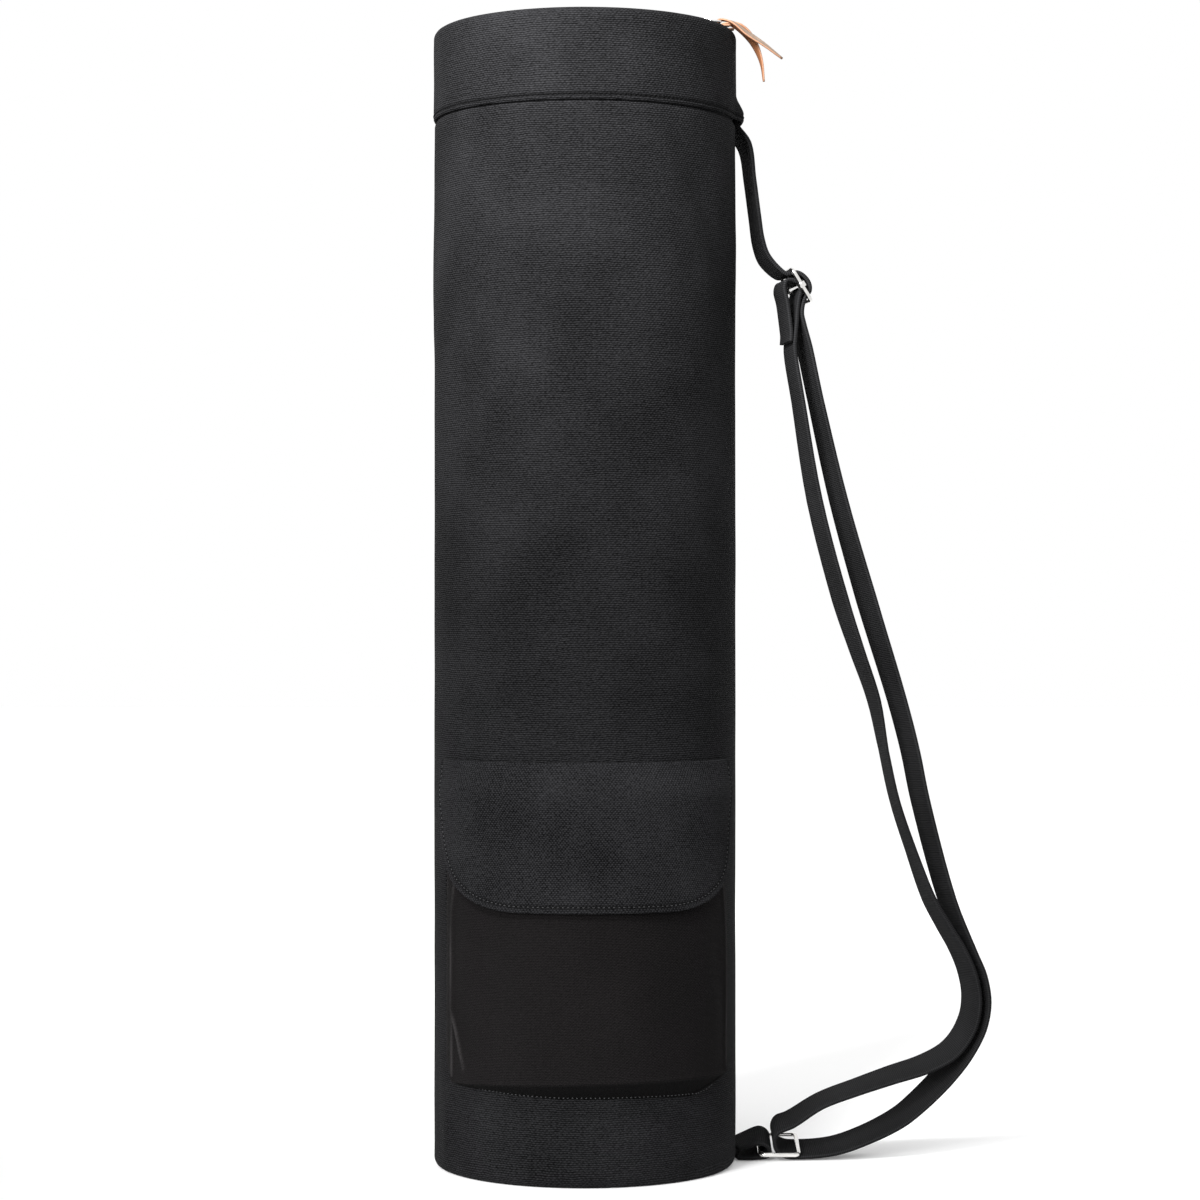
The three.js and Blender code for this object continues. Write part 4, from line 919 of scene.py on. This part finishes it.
def catmull(points, per):
    """Places along a centripetal curve through points, per of them to each span, with the last point."""
    points = np.asarray(points, dtype=float)
    padded = np.vstack([2 * points[0] - points[1], points, 2 * points[-1] - points[-2]])
    found = []
    for k in range(len(points) - 1):
        p0, p1, p2, p3 = padded[k:k + 4]
        d0, d1, d2 = (max(np.linalg.norm(b - a) ** 0.5, 1e-4) for a, b in ((p0, p1), (p1, p2), (p2, p3)))
        t1 = ((p1 - p0) / d0 - (p2 - p0) / (d0 + d1) + (p2 - p1) / d1) * d1
        t2 = ((p2 - p1) / d1 - (p3 - p1) / (d1 + d2) + (p3 - p2) / d2) * d1
        for t in np.arange(per) / per:
            found.append(p1 + t1 * t + (-3 * p1 + 3 * p2 - 2 * t1 - t2) * t**2
                         + (2 * p1 - 2 * p2 + t1 + t2) * t**3)
    found.append(points[-1])
    return np.array(found)


def make_pull(name, angle, heading, roll, path):
    """A leather tongue folded round its wire ring. Its back, face and edges have materials of their own."""
    way, across = around(heading, 1.0, 0.0), around(heading + 90, 1.0, 0.0)
    wire = around(angle, ZIP_RADIUS, RING_TOP_HEIGHT) + way * (PULL_RING_LENGTH - PULL_RING_WIRE)
    wrap = PULL_RING_WIRE / 2 + SEAM_GAP + PULL_THICKNESS / 2
    turns = np.radians([270, 225, 180, 135, 90])
    rows = [wire + way * PULL_FOLD - UP * wrap]
    rows += [wire + way * wrap * math.cos(t) + UP * wrap * math.sin(t) for t in turns]
    rows += [wire + way * a * PULL_LENGTH + UP * (wrap - d * PULL_LENGTH) for a, d in path]
    per = 6
    centres = catmull(rows, per)
    along = unit(np.gradient(centres, axis=0))
    body = len(turns) * per
    share = np.clip((np.arange(len(centres)) - body) / (len(centres) - 1 - body), 0, 1)
    rolled = math.radians(roll) * smooth(share / 0.45)[:, None]
    side = np.cos(rolled) * across + np.sin(rolled) * UP
    width = mix(PULL_NECK, PULL_WIDTH, smooth(share / 0.3)) * np.sqrt(np.clip((1 - share) / 0.4, 0.015, 1))
    cup = 0.5 * np.sin(share * math.pi)
    spots = np.linspace(-1, 1, 13)
    soft = PULL_THICKNESS / 2 * (1 - 0.35 * np.abs(spots) ** 6)
    face, back = (np.stack([np.stack([spots * w / 2, half - c * spots**2], axis=-1)
                            for w, c in zip(width, cup)]) for half in (soft, -soft))
    shape = np.concatenate([back, face[:, ::-1]], axis=1)
    frames = np.stack([side, unit(np.cross(side, along))], axis=1)
    slots = ([1] * 12 + [2] + [0] * 12 + [2]) * (len(centres) - 1) + [2, 2]
    add("leather_tongue_" + name, tube_mesh(centres, frames, shape), [GRAIN, FLESH, EDGE], "tan_leather",
        "leather_pull_" + name, slots=slots)


def make_pulls():
    out = PULL_RING_LENGTH / 2 - PULL_RING_WIRE / 2
    for name, angle, heading, roll, path in PULLS:
        slider = add_metal("zip_slider_body_" + name, slider_mesh(),
                           lambda points: place_on_zip(points, angle, SLIDER_FLOOR), "zip_slider_" + name)
        bevelled(slider, SLIDER_BEVEL)
        wire = wire_loop(PULL_RING_LENGTH, PULL_RING_WIDTH, PULL_RING_WIRE, PULL_RING_BEND)
        add_metal("pull_wire_" + name, wire,
                  lambda points: place_on_zip(points + [out, 0, 0], angle, RING_TOP_HEIGHT, heading),
                  "pull_ring_" + name)
        make_pull(name, angle, heading, roll, path)


# The pocket and its flap
# POCKET_BAND is where the panel ends and the gusset starts. The corners of the seam give an angle, a half
# width in degrees, a height and a depth. The flat scales are millimetres to a share of each direction.
POCKET_BAND = 0.84
POCKET_FLAT_ACROSS = 100
POCKET_FLAT_GUSSET = 22
POCKET_FLAT_PANEL = 165
POCKET_STITCH_ROW = -0.9
POCKET_STITCH_PITCH = 2.6
POCKET_SEAM_LEFT_CORNER = (-36, 26.5, 84, 30)
POCKET_SEAM_RIGHT_CORNER = (42, 22.5, 79, 29)
POCKET_FOLDS = [
    (-50, 98, -42, 67, 0.8, 1.4), (-46, 104, -36, 66, 4, -0.8), (-50, 170, -50, 100, 2, 0.8),
    (-28, 150, -44, 72, 8, -0.8), (34, 150, 50, 90, 8, 0.8), (8, 158, 24, 110, 12, -0.5),
    (46, 165, 53, 80, 4, -0.7), (28, 86, 46, 70, 4, 0.5),
]


def pocket_depth(height):
    from_mouth = smooth((POCKET_TOP - height) / ((POCKET_TOP - POCKET_FLOOR) * 0.55))
    return mix(POCKET_MOUTH_DEPTH, POCKET_DEPTH, from_mouth)


def pocket_low_edge(t):
    """The front panel's lower edge sags a little at its left."""
    return POCKET_FLOOR + POCKET_FLOOR_SLOPE + 2.6 * t - 3.2 * t * t


def pocket_place(s, q, cloth=0.0):
    """The angle, height and stand-off of a place on the pocket. s runs from side seam to side seam, and q
    is from -1 at the lower seam to 0 at the panel's lower edge and 1 at the mouth. cloth is how far
    inside the outer face the place is."""
    s, q = np.broadcast_arrays(np.asarray(s, dtype=float), np.asarray(q, dtype=float))
    left = s < 0
    t = np.clip(np.abs(s) / POCKET_BAND, 0, 1) * np.sign(s)
    angle_in = math.degrees(cloth / BAG_RADIUS)
    panel_edge = np.where(left, POCKET_LEFT_EDGE + angle_in, POCKET_RIGHT_EDGE - angle_in)
    low = pocket_low_edge(t) + cloth
    up = np.clip(q, 0, 1)
    panel_angle = np.abs(t) * panel_edge
    panel_height = mix(low, POCKET_TOP, up)
    dome = 1 - (1 - POCKET_EDGE_STAND) * np.abs(t) ** 2.6
    panel_stand = np.maximum(pocket_depth(panel_height) * dome - cloth, 0)
    # the gusset runs from the panel's edge to the seam on the body
    side = np.clip((np.abs(s) - POCKET_BAND) / (1 - POCKET_BAND), 0, 1)
    down = np.clip(-q, 0, 1)
    share = np.maximum(side, down)
    at_side = side >= down
    ratio = np.minimum(side, down) / np.maximum(share, 1e-9)
    turn = np.where(at_side, ratio * math.pi / 4, math.pi / 2 - ratio * math.pi / 4)
    corner = np.where(left[..., None], POCKET_SEAM_LEFT_CORNER, POCKET_SEAM_RIGHT_CORNER)
    middle, wide, high, deep = (corner[..., k] for k in range(4))
    wide, deep = wide - angle_in, deep - cloth
    seam_angle = middle + np.where(left, -wide, wide) * np.cos(turn)
    seam_height = high - deep * np.sin(turn)
    beside = up > 0
    seam_height = np.where(beside, mix(high, POCKET_TOP, up), seam_height)
    under = (side == 0) & (down > 0)
    along = np.abs(t)
    seam_angle = np.where(under, mix(0, middle, along), seam_angle)
    floor_middle = POCKET_FLOOR + 1.4 + cloth
    seam_height = np.where(under, mix(floor_middle, high - deep, along**2), seam_height)
    angle = mix(panel_angle, seam_angle, share)
    height = mix(panel_height, seam_height, share)
    bow = 1.2 * np.sin(share * math.pi) * (1 if cloth == 0 else 0.6)
    stand = mix(panel_stand, 0, share) + bow
    if cloth == 0:
        u = np.radians(angle) * BAG_RADIUS
        held = 1 - smooth(share / 0.5)
        loose = folds(POCKET_FOLDS, angle, height) + 0.5 * waves(u, height, 50, 21)
        edge = np.minimum(POCKET_BAND - np.abs(s), 1) * 60
        low_ridge = hump(np.where(q < 0, -q * 12, q * 160), 1.0) * (np.abs(s) <= POCKET_BAND + 0.02)
        ridge = 1.1 * np.maximum(hump(edge, 0.9), low_ridge)
        stand = stand + loose * held + ridge + 0.4 * hump(height - POCKET_TOP + 1, 1.5) * held
    return angle, height, stand


def pocket_surface(s, q, cloth=0.0):
    angle, height, stand = pocket_place(s, q, cloth)
    return around(angle, body_radius(angle, height) + LAID_GAP + stand, height)


def spread(count, crowd=1.4):
    t = np.linspace(-1, 1, count)
    return np.sign(t) * (1 - (1 - np.abs(t)) ** crowd)


def make_pocket():
    half = spans(0, (0.78, 62), (POCKET_BAND, 14), (1, 20))
    across = np.concatenate([-half[::-1], half[1:]])
    rows = spans(-1, (0, 16), (0.04, 10), (1, 92))
    few = spans(0, (15, 5), (len(rows) - 1, 22)).round().astype(int)

    def grids(rows, cloth):
        s, q = np.meshgrid(across, rows)
        v = np.where(q < 0, q * POCKET_FLAT_GUSSET, q * POCKET_FLAT_PANEL)
        return pocket_surface(s, q, cloth), np.stack([s * POCKET_FLAT_ACROSS, v], axis=-1)

    mesh = cloth_mesh(*grids(rows, 0.0), *grids(rows[few], POCKET_CLOTH), False)
    share, row = np.meshgrid(across, rows)
    # painted shade: the canvas darkens along the floor's stitch row and over the gusset below the panel
    floor_stitch_shade = hump((row - POCKET_STITCH_ROW) * POCKET_FLAT_GUSSET, 0.8) * (np.abs(share) < 0.98)
    low = np.maximum(floor_stitch_shade, 0.85 * smooth(-row * 6))
    angle, height, _ = pocket_place(share, row)
    # painted highlight: the canvas pales along the panel's edges, more on the left, and along its first
    # crease
    left, right = (hump((share + edge) * POCKET_FLAT_ACROSS, 0.8) * (row > 0.02)
                   for edge in (POCKET_BAND, -POCKET_BAND))
    edge_highlight = np.maximum(left * (0.6 + 0.4 * np.sin(height / 9)), 0.35 * right)
    painted_highlight = np.maximum(edge_highlight, np.clip(folds([POCKET_FOLDS[0]], angle, height), 0, 1))
    add("canvas_pocket", mesh, POCKET, "pocket_canvas", "pocket_pouch", seam=low - painted_highlight)
    floor_path = np.array([(s, POCKET_STITCH_ROW) for s in np.linspace(-0.95, 0.95, 500)])
    sewn("pocket_floor_stitches", floor_path, pocket_surface, POCKET_STITCH_PITCH, LIT_THREAD,
         "pocket_canvas", lift=-0.1, step=0.004, dash=0.3)
    for side, name in ((-1, "left"), (1, "right")):
        seam_path = np.array([(side * 0.985, z) for z in np.linspace(0.06, 0.95, 300)])
        sewn("pocket_" + name + "_stitches", seam_path, pocket_surface, POCKET_STITCH_PITCH, SHADED_THREAD,
             "pocket_canvas", step=0.004)


FLAP_WIDTH = math.radians(FLAP_HALF_ANGLE) * BAG_RADIUS
FLAP_HEM = 3.5
FLAP_STITCH_PITCH = 2.9
FLAP_FOLDS = [
    (24, 222, 46, 190, 6, -0.7), (34, 228, 56, 196, 6, 0.8), (6, 200, 30, 176, 8, 0.6),
    (-30, 226, -48, 190, 9, 0.7), (-56, 212, -60, 200, 3, -1.0), (-50, 214, -60, 206, 3, 0.8),
    (-10, 230, -16, 180, 10, -0.4),
]


def flap_half_angle(height):
    return mix(FLAP_HALF_ANGLE, FLAP_LOWER_HALF_ANGLE, smooth((FLAP_SEAM - height) / (FLAP_DROP * 0.7)))


def flap_fullness(share):
    t = np.minimum(np.abs(share), 1)
    return (1 - t**3) ** 0.75


def flap_corner(u):
    """The width and height of the flap's rounded lower corner on the side that u is on."""
    left = (np.asarray(u) < 0)[..., None]
    return np.moveaxis(np.where(left, FLAP_CORNER_LEFT, FLAP_CORNER_RIGHT), -1, 0)


def flap_edge_distance(u, v):
    """How far a flat place on the flap lies inside its sewn edge."""
    wide, high = flap_corner(u)
    straight = FLAP_WIDTH - np.abs(u)
    below = FLAP_DROP - v
    x = np.maximum(np.abs(u) - (FLAP_WIDTH - wide), 0) / wide
    y = np.maximum(v - (FLAP_DROP - high), 0) / high
    reach = np.maximum(np.hypot(x, y), 1e-6)
    slope = np.maximum(np.hypot(x / wide, y / high) / reach, 1e-6)
    return np.where((x > 0) & (y > 0), (1 - reach) / slope, np.minimum(straight, below))


def flap_surface(u, v, cloth=FLAP_CLOTH):
    """Flat places to the flap: u runs across from its middle and v runs down from its seam."""
    height = FLAP_SEAM - v
    half = flap_half_angle(height)
    share = u / FLAP_WIDTH
    angle = FLAP_ANGLE + share * half
    below = smooth((FLAP_SEAM - height) / FLAP_RISE_RUN)
    depth = pocket_depth(np.minimum(height, POCKET_TOP)) + FLAP_EASE
    stand = below * (depth * flap_fullness(share * half / FLAP_HALF_ANGLE) + FLAP_EASE)
    inside = flap_edge_distance(u, v)
    detail = folds(FLAP_FOLDS, angle, height) + 0.35 * waves(u, v, 40, 33)
    detail = detail * smooth(v / 12) * smooth(inside / 10)
    hem = -0.4 * hump(inside - FLAP_HEM, 0.9) + 0.3 * hump(inside - 1.4, 1.1)
    along = np.where(np.abs(u) < FLAP_WIDTH * 0.6, u, v)
    pucker = 0.14 * np.sin(along * 2 * math.pi / 2.4) * hump(inside - FLAP_HEM - 2, 1.6)
    rolled = 1.6 * (1 - np.sqrt(np.clip(1 - (1 - np.clip(v / 1.6, 0, 1)) ** 2, 0, 1)))
    lift = (detail + (hem + pucker) * smooth(v / 8) - rolled) if cloth else detail
    return around(angle, body_radius(angle, height) + LAID_GAP + stand + cloth + lift, height)


def make_flap():
    share = spread(200, 1.25)
    wide, high = flap_corner(share)
    past = np.clip((np.abs(share) * FLAP_WIDTH - (FLAP_WIDTH - wide)) / wide, 0, 1)
    drop = FLAP_DROP - quarter_inset(high, past * 0.99)
    downs = 1 - spans(0, (0.12, 14), (0.95, 62), (1, 8))

    def grids(rows, cloth):
        u = np.broadcast_to(share * FLAP_WIDTH, (len(rows), len(share)))
        v = rows[:, None] * drop[None]
        return flap_surface(u, v, cloth), np.stack([u, -v], axis=-1)

    outer, uv = grids(downs, FLAP_CLOTH)
    inner, inner_uv = grids(np.unique(np.append(downs[::3], downs[-1]))[::-1], 0)
    # painted shade: the canvas darkens along the groove of its stitch line
    stitch_shade = hump(flap_edge_distance(uv[..., 0], -uv[..., 1]) - FLAP_HEM, 0.7)
    mesh = cloth_mesh(outer, uv, inner, inner_uv, False)
    obj = add("canvas_flap", mesh, LIGHTENED_FLAP_CANVAS, "pocket_canvas", "pocket_flap", seam=stitch_shade)
    line = FLAP_WIDTH - FLAP_HEM
    turn = np.linspace(0, math.pi / 2, 60)

    def side_path(side, corner):
        wide, high = corner
        run = [(side * line, v) for v in np.linspace(3, FLAP_DROP - high, 60)[:-1]]
        middle = FLAP_WIDTH - wide
        return run + [(side * (middle + (wide - FLAP_HEM) * math.cos(t)),
                       FLAP_DROP - high + (high - FLAP_HEM) * math.sin(t)) for t in turn]

    left, right = side_path(-1, FLAP_CORNER_LEFT), side_path(1, FLAP_CORNER_RIGHT)
    bottom = [(u, FLAP_DROP - FLAP_HEM) for u in np.linspace(left[-1][0], right[-1][0], 160)[1:-1]]
    path = np.array(left + bottom + right[::-1])
    stitches = sewn("flap_stitches", path, flap_surface, FLAP_STITCH_PITCH, LIT_THREAD, "pocket_canvas",
                    lift=0.02, dash=0.3)


# The strap and its hardware
def strand(table, side):
    """Rows of x, z, lean and lift from a strand's shares. Side is 1 where the inside of the loop is to
    the left of the way the rows run, seen from the front, and -1 where it is to the right."""
    table = np.asarray(table, dtype=float)
    x = BAG_RADIUS + table[:, 0] * STRAP_REACH
    z = table[:, 1] * SLIDE_HEIGHT
    last = len(x) - 1
    rows = []
    for k in range(len(x)):
        a, b = max(k - 1, 0), min(k + 1, last)
        run = math.hypot(x[b] - x[a], z[b] - z[a])
        in_x, in_z = -side * (z[b] - z[a]) / run, side * (x[b] - x[a]) / run
        rows.append((x[k], z[k], table[k, 2] * in_x, table[k, 2] * in_z))
    return rows


TILT = math.radians(SLIDE_TILT)
SLIDE_WAY = (math.sin(TILT), -math.cos(TILT))
SLIDE_FACE = (math.cos(TILT), math.sin(TILT))
LEAN = -math.tan(math.radians(SLIDE_LEAN))
RING_X = BAG_RADIUS + RING_OUT
RING_BAR = (RING_LENGTH - WIRE) / 2
RING_SLOPE = math.tan(math.radians(RING_LIFT))
BAR_WRAP = BAR_WIRE / 2 + SEAM_GAP + WEBBING_THICKNESS / 2


def slide_point(way, face):
    return (BAG_RADIUS + SLIDE_OUT + way * SLIDE_WAY[0] + face * SLIDE_FACE[0],
            SLIDE_HEIGHT + way * SLIDE_WAY[1] + face * SLIDE_FACE[1], LEAN, 0)


def ring_point(out, up):
    return (RING_X + out, RING_HEIGHT + up, 0, RING_SLOPE)


def over_bar(upper, lower, out):
    turns = np.pi * (1 - np.arange(7) / 6)
    return [slide_point((upper if k < 3 else lower) * math.cos(t), out * math.sin(t))
            for k, t in enumerate(turns)]


WEBBING_SPOTS = (-0.96, -0.88, -0.6, -0.3, 0, 0.3, 0.6, 0.88, 0.96)
WEBBING_STEPS = 5


def webbing_mesh(rows):
    """Webbing along rows of x, z, lean and lift. Its two faces are a little hollow between the edges."""
    rows = np.asarray(rows, dtype=float)
    spine = catmull(rows[:, :2], WEBBING_STEPS)
    knots = np.arange(len(rows))
    places = np.append(np.repeat(knots[:-1], WEBBING_STEPS)
                       + np.tile(np.arange(WEBBING_STEPS) / WEBBING_STEPS, len(rows) - 1), knots[-1])
    lean, lift = (np.interp(places, knots, rows[:, column]) for column in (2, 3))
    centres = np.stack([spine[:, 0], np.full(len(spine), float(STRAP_DEPTH)), spine[:, 1]], axis=1)
    across = unit(np.stack([lean, np.ones(len(lean)), lift], axis=1))
    up = unit(np.cross(across, unit(np.gradient(centres, axis=0))))
    half, side = WEBBING_THICKNESS / 2, WEBBING_WIDTH / 2
    over = [(s * side, half * (1 - 0.1 * (abs(s) < 0.9))) for s in WEBBING_SPOTS[::-1]]
    over = [(side, half * 0.5)] + over + [(-side, half * 0.5)]
    section = [(-x, -y) for x, y in over]
    return tube_mesh(centres, np.stack([across, up], axis=1), section + over)


def strap_rows():
    sewn_radius = NECK_RADIUS + SEAM_GAP + WEBBING_THICKNESS / 2
    sewn_x = math.sqrt(sewn_radius**2 - STRAP_DEPTH**2)
    sewn_lean = -STRAP_DEPTH / sewn_x
    rows = [(sewn_x, COLLAR_EDGE + STRAP_TUCK, sewn_lean, 0), (sewn_x + 0.3, COLLAR_EDGE, sewn_lean, 0)]
    rows += strand(LEAD, -1)
    rows += [slide_point(*p) for p in LEAD_TO_TURN] + over_bar(TURN_UPPER, TURN_LOWER, TURN_FACE)
    rows += [slide_point(*p) for p in TURN_TO_OUTER] + strand(OUTER_STRAND, -1)
    rows += [ring_point(out * RING_BAR, up) for out, up in RING_TURN] + strand(INNER_STRAND[::-1], 1)
    rows += [slide_point(*p) for p in INNER_TO_BAR] + over_bar(BAR_WRAP, BAR_WRAP, BAR_WRAP)[::-1]
    return rows + [slide_point(*p) for p in TAIL]


def make_strap():
    add("webbing_strap", webbing_mesh(strap_rows()), WEBBING, "webbing", "shoulder_strap")
    sewn_x = math.sqrt((BAG_RADIUS + SEAM_GAP) ** 2 - STRAP_DEPTH**2)
    lean = -STRAP_DEPTH / sewn_x
    floor = WEBBING_THICKNESS / 2 + SEAM_GAP
    reach = RING_X - RING_BAR
    under = WIRE / 2 + SEAM_GAP * 1.5 + WEBBING_THICKNESS / 2
    halfway = (sewn_x + reach) / 2
    rows = [(sewn_x + SEAM_GAP, floor, lean, 0), (halfway, floor + 0.8, lean / 2, RING_SLOPE / 3)]
    for t in np.radians([-90, -54, -18, 18, 54, 90]):
        rise = under if t < 0 else TAB_RISE
        rows.append(ring_point(-RING_BAR + TAB_REACH * math.cos(t), rise * math.sin(t)))
    rows += [(halfway, floor + 8.6, lean / 2, RING_SLOPE / 2), (sewn_x + SEAM_GAP, floor + 5.6, lean, 0)]
    add("webbing_tab", webbing_mesh(rows), WEBBING, "webbing", "strap_tab")


def at_slide(points):
    """Carries points made flat, X the slide's long way and Y its width, to the slide."""
    width = unit([LEAN, 1, 0])
    way = np.array([SLIDE_WAY[0], 0, SLIDE_WAY[1]])
    face = unit(np.cross(way, width))
    way = np.cross(width, face)
    turn = np.stack([way, width, face])
    return np.asarray(points) @ turn + [BAG_RADIUS + SLIDE_OUT, STRAP_DEPTH, SLIDE_HEIGHT]


def make_hardware():
    width = WEBBING_WIDTH + 2 * (WIRE_PLAY + WIRE)
    slide_width = WEBBING_WIDTH + 2 * (WIRE_PLAY + WIRE + 1)
    add_metal("slide_wire", wire_loop(SLIDE_LENGTH, slide_width, WIRE, CORNER_BEND), at_slide, "slide_frame")
    reach = slide_width / 2 - WIRE / 2
    inset = reach - WIRE * 0.8
    ends = np.stack([np.zeros(9), np.linspace(-inset, inset, 9), np.zeros(9)], axis=1)
    frames = np.tile(np.array([[1.0, 0, 0], UP]), (9, 1, 1))
    meshes = [tube_mesh(ends, frames, circle(BAR_WIRE / 2, 14))]
    # each end of the bar curls round the side wire as an open eye
    turn = np.linspace(0, 2 * math.pi, 29)[:-1]
    nought = np.zeros(len(turn))
    inner_radius, outer_radius = WIRE / 2 + 0.3, BAR_SLEEVE / 2
    middle = (inner_radius + outer_radius) / 2
    thick = (outer_radius - inner_radius) / 2
    long = BAR_WIRE * 0.7
    corners = [(-long, -thick * 0.6), (-long * 0.9, -thick), (long * 0.9, -thick), (long, -thick * 0.6)]
    section = both_ways(corners)
    frames = np.stack([np.tile([1.0, 0, 0], (len(turn), 1)),
                       np.stack([nought, np.cos(turn), np.sin(turn)], axis=1)], axis=1)
    for side in (-1, 1):
        eye = np.stack([nought, side * reach + middle * np.cos(turn), middle * np.sin(turn)], axis=1)
        meshes.append(tube_mesh(eye, frames, section, closed=True))
    add_metal("slide_crossbar", merged(meshes), at_slide, "slide_bar")
    lift = math.radians(RING_LIFT)
    spin = np.array([[1, 0, 0], [0, math.cos(lift), -math.sin(lift)], [0, math.sin(lift), math.cos(lift)]])
    add_metal("lower_ring_wire", wire_loop(RING_LENGTH, width, WIRE, CORNER_BEND),
              lambda points: points @ spin.T + [RING_X, STRAP_DEPTH, RING_HEIGHT], "lower_ring")


# Stage, lights and camera
def make_stage():
    corners = [(-6000, -4000, 0), (6000, -4000, 0), (6000, 9000, 0), (-6000, 9000, 0)]
    floor = make_piece("floor", corners, [(0, 1, 2, 3)], smoothing=False)
    g = Graph("pale_floor")
    tone = g.ramp(g.noise(g.place(), 3.0), [(0.3, 0.90), (0.7, 0.92)])
    glow = {"specular_ior_level": 0.1, "emission_color": (1, 1, 1, 1), "emission_strength": 0.1}
    floor.data.materials.append(g.finish(tone, 0.9, None, **glow))
    world = bpy.data.worlds.new("studio")
    bpy.context.scene.world = world
    world.use_nodes = True
    background = world.node_tree.nodes["Background"]
    background.inputs[0].default_value = (1, 1, 1, 1)
    background.inputs[1].default_value = 1.0
    bpy.context.scene.view_settings.view_transform = "Standard"

    def lamp(name, place, aim, size, power, spread):
        data = bpy.data.lights.new(name, "AREA")
        data.shape = "RECTANGLE"
        data.size, data.size_y = size
        data.energy = power
        data.spread = math.radians(spread)
        obj = bpy.data.objects.new(name, data)
        bpy.context.scene.collection.objects.link(obj)
        obj.location = place
        obj.visible_camera = False
        obj.rotation_euler = (Vector(aim) - Vector(place)).to_track_quat("-Z", "Y").to_euler()

    lamp("top_key", (-0.42, -0.95, 1.12), aim=(0, 0, 0.78), size=(0.5, 0.4), power=11.5, spread=62)
    lamp("foot_fill", (-0.4, -0.8, 0.28), aim=(0, 0, 0.0), size=(0.3, 0.3), power=0.6, spread=34)


PHOTO_SIZE = 1200
FOCAL_PIXELS = 3140
CAMERA_DISTANCE = 1880
CAMERA_HEIGHT = 329
HORIZON_ROW = 612
AXIS_COLUMN = 585


def make_camera():
    data = bpy.data.cameras.new("camera")
    data.sensor_width = 36
    data.lens = data.sensor_width * FOCAL_PIXELS / PHOTO_SIZE
    camera = bpy.data.objects.new("camera", data)
    bpy.context.scene.collection.objects.link(camera)
    aside = (PHOTO_SIZE / 2 - AXIS_COLUMN) * CAMERA_DISTANCE / FOCAL_PIXELS
    camera.location = (aside * MM, -CAMERA_DISTANCE * MM, CAMERA_HEIGHT * MM)
    pitch = math.atan((HORIZON_ROW - PHOTO_SIZE / 2) / FOCAL_PIXELS)
    camera.rotation_euler = (math.pi / 2 + pitch, 0, 0)
    bpy.context.scene.camera = camera


make_body()
make_base()
make_collar()
make_lid()
make_hinge_and_zip()
make_pulls()
make_pocket()
make_flap()
make_strap()
make_hardware()
make_stage()
make_camera()
